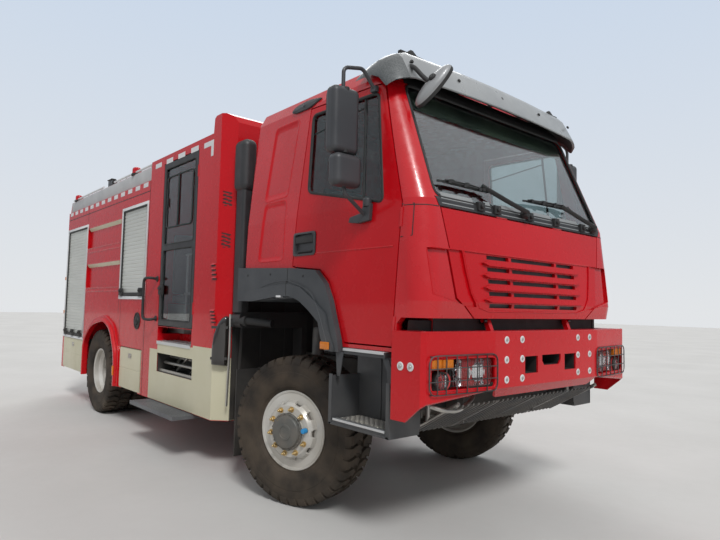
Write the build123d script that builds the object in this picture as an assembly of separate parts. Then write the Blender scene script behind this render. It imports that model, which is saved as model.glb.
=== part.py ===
from build123d import *
import math
import os

# Fire truck, 4x4 tanker with a forward cab, a separate crew cabin and an equipment body.
# Millimetres, +X forward, +Y to the truck's left, +Z up, origin on the ground under the middle.

# Driving dimensions of the chassis
FRONT_AXLE_X = 2480.0
WHEELBASE = 4520.0
REAR_AXLE_X = FRONT_AXLE_X - WHEELBASE
AXLE_Z = 562.0
PARKED_STEER = 18.0
KINGPIN_Y = 800.0
FRONT_WHEEL_Y = 1048.0
REAR_WHEEL_Y = 1085.0
DUAL_SPACING = 350.0
RUN_GAP = 0.3
SEAM = 10.0
SEAT_GAP = 0.2

# Tyre and rim
TYRE_R = 562.0
TYRE_W = 320.0
TYRE_LUGS = 36
LUG_DEPTH = 22.0
TYRE_SIDES = 20
SHOULDER_R = 470.0
LINER_R = 500.0
TYRE_WALL = 36.0
RIM_FLANGE_R = 298.5
BEAD_R = 286.0
WELL_R = 252.0
RIM_HALF = 127.0
RIM_WALL = 11.0
DISC_OFFSET = 175.0
HUB_BORE_R = 140.5
HAND_HOLES = 10
HAND_HOLE_R = 221.0
SPINDLE_R = 45.0
REAR_SPINDLE_R = 60.0
DRUM_R = 205.0

# Frame
RAIL_Y = 430.0
RAIL_FLANGE = 80.0
RAIL_WEB = 10.0
RAIL_TOP = 1060.0
RAIL_H = 300.0
RAIL_FRONT = FRONT_AXLE_X + 1190.0
RAIL_REAR = REAR_AXLE_X - 1880.0
SPRING_W = 90.0
REAR_SPRING_Y = 500.0
FRONT_SPRING_Y = 384.7

# Cab
CAB_WALL = 45.0
CAB_HALF = 1185.0
CAB_SILL = 1238.0
CAB_ROOF = 3225.0
NOSE_BOTTOM = 1456.0
COWL_BOTTOM = 2157.0
SCREEN_BOTTOM = 2216.0
SCREEN_TOP = 3040.0
FLOOR_T = 40.0
FLOOR_HIGH = 1600.0
FOOT_FRONT = FRONT_AXLE_X + 1400.0
FOOT_REAR = FRONT_AXLE_X + 620.0
TUNNEL_Y = 475.0
FLARE_Y = 1240.0
FLARE_STEP = 12.0
FLARE_EDGE = 95.0
STEP_REAR = FRONT_AXLE_X + 656.0
STEP_FRONT = FRONT_AXLE_X + 1255.0

# Crew cabin and equipment body
BODY_HALF = 1250.0
BODY_WALL = 50.0
SKIRT_INNER = 650.0
SKIRT_BOTTOM = 450.0
DECK_BOTTOM = 1120.0
CREW_FRONT = FRONT_AXLE_X - 956.0
CREW_REAR = FRONT_AXLE_X - 2820.0
CREW_TOP = 3150.0
CREW_CHAMFER = 115.0
CREW_DOOR_FRONT = FRONT_AXLE_X - 1550.0
CREW_DOOR_REAR = FRONT_AXLE_X - 2420.0
CREW_DOOR_BOTTOM = 1265.0
CREW_DOOR_TOP = 3050.0
CREW_DOOR_T = 40.0
BODY_REAR = REAR_AXLE_X - 1930.0
BODY_TOP = 2940.0
FASCIA_TOP = 3110.0
ARCH_INNER = 560.0
ARCH_REACH = 1300.0
BODY_GAP = 4.0
REAR_BAR_X = REAR_AXLE_X - 2069.0
FLAP_T = 30.0

# Bumper
BUMPER_FRONT = FRONT_AXLE_X + 1615.0
BUMPER_WING = FRONT_AXLE_X + 1550.0
BUMPER_BACK = FRONT_AXLE_X + 1290.0
BUMPER_TOP = 1377.0
BUMPER_LOW = 1019.0
BUMPER_PLATE = 12.0
BUMPER_FLAT = 656.0
# Lamp window on the right: distance from the middle and height
LAMP_WINDOW = ((660, 1030), (1190, 1030), (1190, 1225), (660, 1225))

os.makedirs("parts", exist_ok=True)


def fx(offset):
    """A station along the truck, measured forward from the front axle."""
    return FRONT_AXLE_X + offset


def block(x0, x1, y0, y1, z0, z1):
    """Box between two corners."""
    centre = Pos((x0 + x1) / 2, (y0 + y1) / 2, (z0 + z1) / 2)
    return centre * Box(abs(x1 - x0), abs(y1 - y0), abs(z1 - z0))


def pillow(x, y, z, length, width, height, radius):
    """Box with all its edges rounded, about its middle."""
    form = Box(length, width, height)
    return Pos(x, y, z) * fillet(form.edges(), radius)


def side_prism(points, y0, y1):
    """Outline seen from the side, (x, z) points, drawn out across the truck."""
    face = make_face(Polyline(*points, close=True))
    return Pos(0, y0, 0) * extrude(Plane.XZ * face, amount=-(y1 - y0))


def front_prism(points, x0, x1, radius=0.0):
    """Outline seen from the front, (y, z) points, drawn out along the truck, its corners rounded."""
    face = make_face(Polyline(*points, close=True))
    if radius:
        face = fillet(face.vertices(), radius)
    return Pos(x0, 0, 0) * extrude(Plane.YZ * face, amount=x1 - x0)


def plan_prism(points, z0, z1):
    """Outline seen from above, (x, y) points, drawn out upwards."""
    face = make_face(Polyline(*points, close=True))
    return Pos(0, 0, z0) * extrude(face, amount=z1 - z0)


def rod(start, end, radius):
    """Round bar between two points."""
    axis = Vector(*end) - Vector(*start)
    plane = Plane(origin=start, z_dir=axis)
    return plane * extrude(Circle(radius), amount=axis.length)


def cross_rod(x, z, y0, y1, radius):
    """Round bar lying across the truck."""
    return rod((x, y0, z), (x, y1, z), radius)


def tube_path(points, radius, bend):
    """Bent tube through the given points."""
    path = FilletPolyline(*points, radius=bend)
    start = Plane(origin=path @ 0, z_dir=path % 0)
    return sweep(start * Circle(radius), path=path)


def left(form):
    """The same form on the truck's left."""
    return mirror(form, about=Plane.XZ)


def both(form):
    """A right-hand form together with its left-hand twin."""
    return Compound(list(form.solids()) + list(left(form).solids()))


def group(*forms):
    """Separate solids kept as one node."""
    return Compound([solid for form in forms for solid in form.solids()])


def node(name, form):
    """Write one sub-part."""
    export_step(form, "parts/" + name + ".step")


# Sections of the cab's outer skin: height, rear station, front station, half width, corner radius
CAB_SECTIONS = (
    (CAB_SILL, -690, 1450, CAB_HALF - 5, 150),
    (1560, -690, 1505, CAB_HALF, 150),
    (1895, -690, 1470, CAB_HALF, 150),
    (2200, -680, 1437, CAB_HALF - 5, 150),
    (3085, -640, 1075, CAB_HALF - 65, 150),
    (3180, -600, 985, CAB_HALF - 100, 150),
    (CAB_ROOF, -520, 900, CAB_HALF - 205, 150),
)


def cab_form(inset):
    """The cab's outer form, drawn in all round by the inset."""
    faces = []
    for height, rear, front, half, radius in CAB_SECTIONS:
        z = height - inset if height > SCREEN_TOP else height
        x0 = fx(rear) + inset
        x1 = fx(front) - inset
        plan = make_face(Polyline((x0, -half + inset), (x1, -half + inset),
                                  (x1, half - inset), (x0, half - inset), close=True))
        corners = plan.vertices().sort_by(Axis.X)
        plan = fillet(corners[2:], radius - inset * 0.4)
        plan = fillet(plan.vertices().sort_by(Axis.X)[:2], 70)
        faces.append(Pos(0, 0, z) * plan)
    return loft(faces, ruled=True)


SKIN = cab_form(0)
LINING = cab_form(CAB_WALL)

# Outline of the wheel-arch flare, front axle stations and heights
FLARE_OUTER = ((-690, 1541), (-690, 1830), (150, 1800), (450, 1774), (560, 1680), (630, 1557),
               (730, 1284), (744, 1204))
FLARE_INNER = ((600, 1204), (548, 1300), (516, 1400), (392, 1483), (250, 1560), (124, 1585),
               (-100, 1575), (-415, 1541))
# Outline of the cab door
DOOR_OUTLINE = ((100, 1812 + SEAM), (150, 1800 + SEAM), (456, 1774 + SEAM), (568, 1686 + SEAM),
                (640, 1561 + SEAM), (742, 1284), (752, 1272), (1215, 1272), (1285, 2180),
                (1028, 3022), (205, 3050))
# Outline of the door window
WINDOW_OUTLINE = ((237, 2995), (256, 2379), (1112, 2198), (994, 2969))
WINDOW_CORNER = 45.0
SCREEN_CORNER = 70.0
# Pressings in the cab's side behind the door, and their depth
SIDE_PRESSINGS = (((-296, 3001), (50, 3005), (-36, 2396), (-378, 2385)),
                  ((-363, 2354), (-40, 2354), (-50, 1878), (-426, 1875)))
PRESSING_DEPTH = 7.0
PRESSING_CORNER = 40.0
# Front flap: half widths and heights
FLAP_HALF_OUTLINE = ((990, COWL_BOTTOM - SEAM), (934, 1896), (880, 1584), (705, NOSE_BOTTOM))


def stations(points):
    """Turn front-axle stations into the truck's own frame."""
    return [(fx(x), z) for x, z in points]


def grown(points, amount, radius=0.0):
    """Outline as a face in its own plane, drawn out by the amount and rounded at its corners."""
    face = offset(make_face(Polyline(*points, close=True)), amount, kind=Kind.INTERSECTION)
    if radius:
        face = fillet(face.vertices(), radius)
    return face


def side_cut(points, amount, y0, y1, radius=0.0):
    """Side outline drawn out by the amount, cut through from y0 to y1."""
    return Pos(0, y0, 0) * extrude(Plane.XZ * grown(stations(points), amount, radius), amount=-(y1 - y0))


def mirrored_outline(half):
    """Full front outline from its half, listed from the top to the bottom."""
    return [(-y, z) for y, z in half] + [(y, z) for y, z in reversed(half)]


def front_cut(points, amount, x0, x1, radius=0.0):
    """Front outline drawn out by the amount, cut through from x0 to x1."""
    return Pos(x0, 0, 0) * extrude(Plane.YZ * grown(points, amount, radius), amount=x1 - x0)


SCREEN_OUTLINE = mirrored_outline(((985, SCREEN_TOP), (1030, SCREEN_BOTTOM)))
COWL_OUTLINE = mirrored_outline(((1040, SCREEN_BOTTOM), (1010, COWL_BOTTOM)))
FLAP_OUTLINE = mirrored_outline(FLAP_HALF_OUTLINE)
# Grille panel, set back from the upper part of the flap
PANEL_OUTLINE = mirrored_outline(((800, 1889), (780, 1764), (740, 1615), (670, 1525), (570, 1503)))
PANEL_DEPTH = 6.0
# Pocket at each front corner of the cab, shared by the shell and the flap
POCKET_OUTLINE = ((1120, 1888), (815, 1888), (793, 1764), (753, 1615), (700, 1530), (796, 1531),
                  (957, 1572), (1100, 1602))
POCKET_DEPTH = 22.0
FLAP_POCKET_DEPTH = 14.0


def pocket_cut(side, depth):
    """Front corner pocket to a depth below the skin; side is -1 right, 1 left."""
    outline = [(side * y, z) for y, z in POCKET_OUTLINE]
    return (cab_form(-5) - cab_form(depth)) & front_cut(outline, 0, fx(1250), fx(1600))


HINGE_PIN = SEAM / 2 - RUN_GAP
# Hinge line of the cab door: it follows the door's front edge, from the sill to the belt
HINGE_LOW = (1215 + SEAM / 2, 1272)
HINGE_HIGH = (1285 + SEAM / 2, 2180)
# Cab pivot
PIVOT_X = FRONT_AXLE_X + 1430.0
PIVOT_Z = 1440.0
PIVOT_PIN = 12.0
POST_IN = 480.0
POST_OUT = 515.0
# Hinge line of the front flap
FLAP_HINGE_X = FRONT_AXLE_X + 1443.0
FLAP_HINGE_Z = COWL_BOTTOM - SEAM / 2


def hinge_point(z):
    """Point of the right cab door's hinge line at a height."""
    share = (z - HINGE_LOW[1]) / (HINGE_HIGH[1] - HINGE_LOW[1])
    return (fx(HINGE_LOW[0] + share * (HINGE_HIGH[0] - HINGE_LOW[0])), -CAB_HALF, z)


def door_hinges():
    """Hinge pins of the right cab door with their lugs on the pillar."""
    form = None
    for z0, z1 in ((1340, 1460), (2020, 2140)):
        low, high = hinge_point(z0), hinge_point(z1)
        pin = rod(low, high, HINGE_PIN)
        lug = side_prism(((low[0], z0), (low[0] + 16, z0), (high[0] + 16, z1), (high[0], z1)),
                         -CAB_HALF - 2, -CAB_HALF + 12)
        form = pin + lug if form is None else form + pin + lug
    return form


def cab_shell():
    """Hollow cab with its floor, tunnel and openings."""
    shell = SKIN - LINING
    under = side_prism(stations(((-800, 1100), (-800, FLOOR_HIGH), (400, FLOOR_HIGH), (560, 1430),
                                 (640, CAB_SILL - 10), (640, 1100))), -1300, 1300)
    nose = side_prism(stations(((1245, 1100), (1250, 1300), (1262, 1420), (1300, NOSE_BOTTOM),
                                (1700, NOSE_BOTTOM), (1700, 1100))), -1300, 1300)
    shell = shell - under - nose
    shell = shell - side_cut(DOOR_OUTLINE, SEAM, -1300, -900) - side_cut(DOOR_OUTLINE, SEAM, 900, 1300)
    shell = shell - front_cut(SCREEN_OUTLINE, 0, fx(900), fx(1600), SCREEN_CORNER)
    shell = shell - front_cut(FLAP_OUTLINE, SEAM, fx(1250), fx(1600))
    sheet = cab_form(-5) - cab_form(PRESSING_DEPTH)
    for outline in SIDE_PRESSINGS:
        pressing = sheet & side_cut(outline, 0, -1300, -900, PRESSING_CORNER)
        shell = shell - pressing - left(pressing)
    for side in (-1, 1):
        shell = shell - pocket_cut(side, POCKET_DEPTH)
    cowl_bed = (cab_form(-30) - cab_form(12)) & front_cut(COWL_OUTLINE, 0, fx(1200), fx(1600))
    shell = shell - cowl_bed
    inner = CAB_HALF - CAB_WALL - 12
    floor = block(fx(-660), FOOT_REAR + FLOOR_T, -inner, inner, FLOOR_HIGH, FLOOR_HIGH + FLOOR_T)
    tunnel = block(FOOT_REAR, FOOT_FRONT, -TUNNEL_Y - FLOOR_T, TUNNEL_Y + FLOOR_T,
                   FLOOR_HIGH, FLOOR_HIGH + FLOOR_T)
    parts = [floor, tunnel]
    for side in (-1, 1):
        y0, y1 = side * TUNNEL_Y, side * (CAB_HALF - 10)
        wall = side * (TUNNEL_Y + FLOOR_T)
        parts.append(block(FOOT_REAR + 30, FOOT_FRONT - 155, y0, y1, CAB_SILL, CAB_SILL + 24))
        parts.append(block(FOOT_FRONT - 155, FOOT_FRONT, y0, side * 1000, CAB_SILL, CAB_SILL + 24))
        parts.append(block(FOOT_REAR, FOOT_FRONT, y0, wall, CAB_SILL, FLOOR_HIGH + 10))
        parts.append(block(FOOT_REAR, FOOT_REAR + FLOOR_T, y0, side * inner, CAB_SILL, FLOOR_HIGH + 10))
    bulkhead = block(FOOT_FRONT - FLOOR_T, FOOT_FRONT, -1000, 1000, CAB_SILL, COWL_BOTTOM)
    mouth = block(FOOT_FRONT - 60, FOOT_FRONT + 10, -TUNNEL_Y, TUNNEL_Y, CAB_SILL - 10, FLOOR_HIGH)
    parts.append((bulkhead - mouth) & LINING)
    shelf = block(FOOT_FRONT - FLOOR_T, fx(1600), -1000, 1000, COWL_BOTTOM - 2, COWL_BOTTOM + 30)
    parts.append(shelf & LINING)
    hinges = door_hinges()
    parts.append(hinges)
    parts.append(left(hinges))
    skin_x = FLAP_HINGE_X - 1
    for side in (-1, 1):
        y0, y1 = side * 300, side * 420
        parts.append(rod((FLAP_HINGE_X, y0, FLAP_HINGE_Z), (FLAP_HINGE_X, y1, FLAP_HINGE_Z), HINGE_PIN))
        parts.append(block(skin_x - 37, skin_x - 14, y0, y1, FLAP_HINGE_Z, COWL_BOTTOM + 6))
        parts.append(block(skin_x - 37, FLAP_HINGE_X, y0, y1, FLAP_HINGE_Z, COWL_BOTTOM - 0.2))
        eye = cross_rod(PIVOT_X, PIVOT_Z, side * (POST_OUT + 5), side * (POST_OUT + 35), 20)
        arm = block(FOOT_FRONT - 10, PIVOT_X, side * (POST_OUT + 5), side * (POST_OUT + 35),
                    PIVOT_Z - 20, PIVOT_Z + 16)
        hole = cross_rod(PIVOT_X, PIVOT_Z, side * POST_OUT, side * (POST_OUT + 40), PIVOT_PIN + RUN_GAP)
        parts.append(eye + arm - hole)
    for part in parts:
        shell = shell + part
    return shell


def cab_layer(outer, inner, cutter):
    """Sheet that follows the cab's skin between two insets, trimmed to an outline."""
    return (cab_form(outer) - cab_form(inner)) & cutter


def cab_door():
    """Right-hand cab door with its window cut."""
    door = cab_layer(0, CAB_WALL, side_cut(DOOR_OUTLINE, 0, -1300, -900))
    door = door - side_cut(WINDOW_OUTLINE, 0, -1300, -900, WINDOW_CORNER)
    pull = block(fx(115), fx(380), -CAB_HALF - 5, -CAB_HALF + 25, 1905, 2060)
    return door - pull


def door_glass():
    """Right-hand door window."""
    return cab_layer(14, 20, side_cut(WINDOW_OUTLINE, -SEAT_GAP, -1300, -900, WINDOW_CORNER))


def windscreen():
    """Laminated screen seated in its opening."""
    return cab_layer(14, 21, front_cut(SCREEN_OUTLINE, -SEAT_GAP, fx(900), fx(1600), SCREEN_CORNER))


def cowl():
    """Black cowl strip below the screen."""
    return cab_layer(-4, 12 - SEAT_GAP, front_cut(COWL_OUTLINE, -SEAT_GAP, fx(1200), fx(1600)))


# Grille rows: height of each slot row
GRILLE_ROWS = (1863, 1783, 1702, 1620, 1540)
SLOT_H = 27.0
# Slot columns: inner and outer half width
SLOT_COLUMNS = ((-560, -310), (-280, 280), (310, 560))
RIB_HALF = 620.0
RIB_H = 34.0


def front_flap():
    """Front flap with its slotted grille and raised ribs."""
    flap = cab_layer(0, 30, front_cut(FLAP_OUTLINE, 0, fx(1250), fx(1600)))
    panel = (cab_form(-5) - cab_form(PANEL_DEPTH)) & front_cut(PANEL_OUTLINE, 0, fx(1250), fx(1600))
    flap = flap - panel - pocket_cut(-1, FLAP_POCKET_DEPTH) - pocket_cut(1, FLAP_POCKET_DEPTH)
    for height in GRILLE_ROWS:
        for start, end in SLOT_COLUMNS:
            flap = flap - block(fx(1300), fx(1600), start, end, height - SLOT_H / 2, height + SLOT_H / 2)
    for upper, lower in zip(GRILLE_ROWS, GRILLE_ROWS[1:]):
        middle = (upper + lower) / 2
        rib = front_prism(((-RIB_HALF, middle), (-RIB_HALF + 60, middle + RIB_H / 2),
                           (RIB_HALF - 60, middle + RIB_H / 2), (RIB_HALF, middle),
                           (RIB_HALF - 60, middle - RIB_H / 2), (-RIB_HALF + 60, middle - RIB_H / 2)),
                          fx(1300), fx(1600))
        flap = flap + (rib & (cab_form(-16) - cab_form(15)))
    return flap


def grille_back():
    """Black backing behind the slots, carried on the flap."""
    zone = front_cut(((-600, 1890), (600, 1890), (590, 1520), (-590, 1520)), 0, fx(1250), fx(1600))
    return cab_layer(30 + SEAT_GAP, 38, zone)


# Visor sections from the middle outwards: half width, shift ahead, shift down, share of its height
VISOR_STATIONS = ((0, 16, 14, 1.0), (450, 12, 10, 1.0), (985, -6, 0, 1.0), (1040, -18, -20, 0.94),
                  (1135, -55, -80, 0.80), (1168, -100, -150, 0.62))
VISOR_TOP = 3262.0
# Feet that bolt the visor to the roof: distances from the middle
VISOR_FEET = (-640, -220, 220, 640)
VISOR_SECTION = ((885, 3235), (965, 3262), (1040, 3276), (1095, 3262), (1140, 3215), (1192, 3115),
                 (1218, 3060), (1216, 3042), (1202, 3044), (1130, 3170), (1065, 3222), (885, 3225.3))


def visor():
    """Sun visor over the screen, its ends swept back and drooping."""
    faces = []
    ends = [(-y, ahead, down, tall) for y, ahead, down, tall in reversed(VISOR_STATIONS[1:])]
    for y, ahead, down, tall in ends + list(VISOR_STATIONS):
        faces.append(flat_face([(fx(x + ahead), y, VISOR_TOP + down + (z - VISOR_TOP) * tall)
                                for x, z in VISOR_SECTION]))
    blade = loft(faces, ruled=True)
    for y in VISOR_FEET:
        blade = blade + block(fx(858), fx(906), y - 25, y + 25, CAB_ROOF + RUN_GAP, VISOR_TOP - 19)
    return blade


# Oval mirror ahead of the right front corner: middle, long axis, way its back faces, half axes
OVAL_MIDDLE = (fx(1330), -965.0, 2975.0)
OVAL_LONG = (0.05, 0.66, 0.75)
OVAL_BACK = (0.85, -0.35, 0.251)
OVAL_HALF = (215.0, 88.0)
OVAL_T = 38.0
OVAL_ARM_ROOT = (fx(1148), -985.0, 3146.0)


def front_mirror(carrier):
    """Oval mirror on its short arm, the arm cut to the visor that carries it."""
    plane = Plane(origin=OVAL_MIDDLE, x_dir=OVAL_LONG, z_dir=OVAL_BACK)
    head = extrude(Ellipse(*OVAL_HALF), amount=OVAL_T / 2, both=True)
    head = plane * chamfer(head.edges(), 9)
    arm = rod(OVAL_ARM_ROOT, OVAL_MIDDLE, 20)
    return head + (arm - carrier)


def flares():
    """Black arch flare on the cab's side, right hand."""
    outline = stations(FLARE_OUTER + FLARE_INNER)
    lip = side_prism(outline, -FLARE_Y + FLARE_STEP, -CAB_HALF - RUN_GAP)
    opening = FLARE_INNER + ((-415, 1100), (600, 1100))
    edge = side_prism(outline, -FLARE_Y, -FLARE_Y + FLARE_STEP + 1)
    lip = lip + (edge & side_cut(opening, FLARE_EDGE, -1300, -900))
    liner_top = stations(((-690, 1541), (-690, 1565), (-415, 1590 - 10), (-100, 1598), (124, 1598),
                          (330, 1540), (330, 1500), (124, 1570), (-100, 1560), (-415, 1541)))
    liner = side_prism(liner_top, -CAB_HALF - RUN_GAP, -760)
    return lip + liner


def section(points):
    """Revolve an (r, y) outline about the wheel's own axis, along Y."""
    face = Plane.XY * make_face(Polyline(*points, close=True))
    return revolve(face, axis=Axis.Y)


def rim():
    """Pressed rim barrel, centre plane at y = 0, disc side towards +Y."""
    h, w = RIM_HALF, RIM_WALL
    outer = [(RIM_FLANGE_R, -h), (RIM_FLANGE_R, -h + 9), (BEAD_R, -h + 15), (BEAD_R - 2, -h + 61),
             (WELL_R, -h + 87), (WELL_R, -h + 147), (BEAD_R - 2, h - 65), (BEAD_R, h - 15),
             (RIM_FLANGE_R, h - 9), (RIM_FLANGE_R, h)]
    inner = [(BEAD_R + 2, h), (BEAD_R - w, h - 10), (BEAD_R - w - 2, h - 59), (WELL_R - w, -h + 153),
             (WELL_R - w, -h + 81), (BEAD_R - w - 2, -h + 54), (BEAD_R - w, -h + 10), (BEAD_R + 2, -h)]
    return section(outer + inner)


def disc(direction=1):
    """Wheel disc with its hand holes."""
    d = DISC_OFFSET
    points = [(WELL_R - 5, 22), (236, d - 75), (214, d - 25), (190, d), (HUB_BORE_R, d),
              (HUB_BORE_R, d - 12), (186, d - 12), (204, d - 33), (224, d - 79), (240, -2),
              (WELL_R - 5, -2)]
    plate = section(points)
    hole = Pos(0, 0, HAND_HOLE_R) * (Plane.XZ * SlotOverall(64, 40))
    cutter = extrude(hole, amount=-d - 20)
    for index in range(HAND_HOLES):
        plate = plate - Rot(0, (index + 0.5) * 360 / HAND_HOLES, 0) * cutter
    return plate if direction > 0 else mirror(plate, about=Plane.XZ)


def ring_point(radius, y, angle):
    """Point of a ring round the wheel's own axis."""
    return (radius * math.sin(angle), y, radius * math.cos(angle))


def flat_face(points):
    """Flat face through its corners."""
    return Face(Wire.make_polygon(points, close=True))


def lug_outline():
    """Radius and angle of the tread's outline: root, tip, tip and root of each lug."""
    pitch = 2 * math.pi / TYRE_LUGS
    tip = TYRE_R / math.cos(pitch / 4)
    root = TYRE_R - LUG_DEPTH
    outline = []
    for index in range(TYRE_LUGS):
        for radius, share in ((root, -0.33), (tip, -0.25), (tip, 0.25), (root, 0.33)):
            outline.append((radius, (index + share) * pitch))
    return outline


def tyre():
    """Tyre in flat facets out to its lug tips, with the bead seated on the rim."""
    half = TYRE_W / 2
    bead = RIM_HALF - 17
    reach = 1 / math.cos(math.pi / TYRE_SIDES)
    wall = [(SHOULDER_R, half), (RIM_FLANGE_R + 14, bead + 12), (BEAD_R + RUN_GAP, bead),
            (BEAD_R + RUN_GAP, bead - 40), (LINER_R, half - TYRE_WALL)]
    wall = wall + [(radius, -y) for radius, y in reversed(wall)]
    corners = [(index + 0.5) * 2 * math.pi / TYRE_SIDES for index in range(TYRE_SIDES)]
    faces = []
    for (r0, y0), (r1, y1) in zip(wall, wall[1:]):
        for start, end in zip(corners, corners[1:] + corners[:1]):
            faces.append(flat_face([ring_point(r0 * reach, y0, start), ring_point(r1 * reach, y1, start),
                                    ring_point(r1 * reach, y1, end), ring_point(r0 * reach, y0, end)]))
    lugs = lug_outline()
    for (r0, start), (r1, end) in zip(lugs, lugs[1:] + lugs[:1]):
        faces.append(flat_face([ring_point(r0, -half, start), ring_point(r1, -half, end),
                                ring_point(r1, half, end), ring_point(r0, half, start)]))
    for y in (-half, half):
        rim_line = Wire.make_polygon([ring_point(r, y, angle) for r, angle in lugs], close=True)
        opening = Wire.make_polygon([ring_point(SHOULDER_R * reach, y, angle) for angle in corners], close=True)
        faces.append(Face(rim_line, [opening]))
    return Solid(Shell(faces))


def front_hub():
    """Brake drum, hub and end cap of a steered wheel, disc side towards +Y."""
    d = DISC_OFFSET
    points = [(SPINDLE_R + RUN_GAP, -110), (DRUM_R, -110), (DRUM_R, 40), (150, 60), (150, d - 40),
              (188, d - 40), (188, d - 12), (HUB_BORE_R, d - 12), (HUB_BORE_R, d + 8), (124, d + 14),
              (118, d + 36), (86, d + 48), (0, d + 48), (0, d + 8), (SPINDLE_R + RUN_GAP, d + 8)]
    return section(points)


def rear_hub():
    """Drum, hub and end cap of a twin wheel, from its disc plane at y = 0 outwards."""
    bore = REAR_SPINDLE_R + RUN_GAP
    points = [(bore, -250), (DRUM_R, -250), (DRUM_R, -60), (188, -40), (188, -12), (HUB_BORE_R, -12),
              (HUB_BORE_R, 40), (128, 60), (122, 150), (90, 175), (0, 175), (0, 130), (bore, 130)]
    return section(points)


def steered(form, side):
    """Put a form made about the wheel centre on its steered place; side is -1 right, 1 left."""
    placed = form if side > 0 else mirror(form, about=Plane.XZ)
    offset_y = side * (FRONT_WHEEL_Y - KINGPIN_Y)
    placed = Pos(0, offset_y, 0) * placed
    return Pos(FRONT_AXLE_X, side * KINGPIN_Y, AXLE_Z) * Rot(0, 0, PARKED_STEER) * placed


def knuckle():
    """Steering knuckle with its kingpin and spindle, about the wheel centre, outboard +Y."""
    pin_y = KINGPIN_Y - FRONT_WHEEL_Y
    body = Pos(0, pin_y, 0) * Cylinder(70, 150)
    pin = Pos(0, pin_y, 0) * Cylinder(25, 250)
    neck = rod((0, pin_y, 0), (0, pin_y + 80, 0), 65)
    flange = rod((0, pin_y + 70, 0), (0, -118, 0), 95)
    spindle = rod((0, -120, 0), (0, DISC_OFFSET, 0), SPINDLE_R)
    arm = block(-200, -40, pin_y - 20, pin_y + 20, -70, -36)
    return body + pin + neck + flange + spindle + arm


def leaf_spring(x_mid, y_mid, length, seat_z, count):
    """Stack of leaves, widest at the seat."""
    stack = None
    for index in range(count):
        reach = length / 2 * (1 - index * 0.8 / count)
        z = seat_z + (count - 1 - index) * 14
        leaf = side_prism(((x_mid - reach, z + 40 * (1 - index / count) ** 2),
                           (x_mid - 80, z), (x_mid + 80, z),
                           (x_mid + reach, z + 40 * (1 - index / count) ** 2),
                           (x_mid + reach, z + 14 + 40 * (1 - index / count) ** 2),
                           (x_mid + 80, z + 14), (x_mid - 80, z + 14),
                           (x_mid - reach, z + 14 + 40 * (1 - index / count) ** 2)),
                          y_mid - SPRING_W / 2, y_mid + SPRING_W / 2)
        stack = leaf if stack is None else stack + leaf
    return stack


def front_axle():
    """Driven front axle with its fork ends, springs and saddles."""
    beam = cross_rod(FRONT_AXLE_X, AXLE_Z, -KINGPIN_Y + 110, KINGPIN_Y - 110, 75)
    bowl = Pos(FRONT_AXLE_X, 0, AXLE_Z) * Sphere(200)
    nose = rod((FRONT_AXLE_X - 320, 0, AXLE_Z + 20), (FRONT_AXLE_X, 0, AXLE_Z), 90)
    axle = beam + bowl + nose
    for side in (-1, 1):
        web = block(FRONT_AXLE_X - 75, FRONT_AXLE_X + 75, side * (KINGPIN_Y - 130),
                    side * (KINGPIN_Y - 82), AXLE_Z - 122, AXLE_Z + 122)
        axle = axle + web
        for level in (-1, 1):
            z = AXLE_Z + level * 101
            ear = Pos(FRONT_AXLE_X, side * KINGPIN_Y, z) * Cylinder(50, 40)
            arm = block(FRONT_AXLE_X - 50, FRONT_AXLE_X + 50, side * (KINGPIN_Y - 100),
                        side * KINGPIN_Y, z - 20, z + 20)
            hole = Pos(FRONT_AXLE_X, side * KINGPIN_Y, z) * Cylinder(25 + RUN_GAP, 60)
            axle = axle + ear + arm - hole
        saddle = block(FRONT_AXLE_X - 70, FRONT_AXLE_X + 70, side * FRONT_SPRING_Y - 50,
                       side * FRONT_SPRING_Y + 50, AXLE_Z, AXLE_Z + 92)
        axle = axle + saddle + leaf_spring(FRONT_AXLE_X, side * FRONT_SPRING_Y, 1500, AXLE_Z + 90, 4)
    return axle


def rear_axle():
    """Driven rear axle with its springs and saddles."""
    hub_y = REAR_WHEEL_Y - DUAL_SPACING / 2
    beam = cross_rod(REAR_AXLE_X, AXLE_Z, -hub_y + 256, hub_y - 256, 78)
    beam = beam + cross_rod(REAR_AXLE_X, AXLE_Z, -hub_y - 120, hub_y + 120, REAR_SPINDLE_R)
    bowl = Pos(REAR_AXLE_X, 0, AXLE_Z) * Sphere(235)
    nose = rod((REAR_AXLE_X, 0, AXLE_Z), (REAR_AXLE_X + 380, 0, AXLE_Z + 30), 95)
    axle = beam + bowl + nose
    for side in (-1, 1):
        saddle = block(REAR_AXLE_X - 80, REAR_AXLE_X + 80, side * REAR_SPRING_Y - 44,
                       side * REAR_SPRING_Y + 44, AXLE_Z, AXLE_Z + 92)
        axle = axle + saddle + leaf_spring(REAR_AXLE_X, side * REAR_SPRING_Y, 1500, AXLE_Z + 90, 5)
    return axle


# Frame cross members: stations from the front axle
CROSS_MEMBERS = (1150, -1750, -2700, -3700, -5250, -6300)
# Body bearers on top of the frame: stations from the front axle
BEARERS = (-1150, -1900, -2650, -3100, -4000, -5000, -5900)


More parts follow.
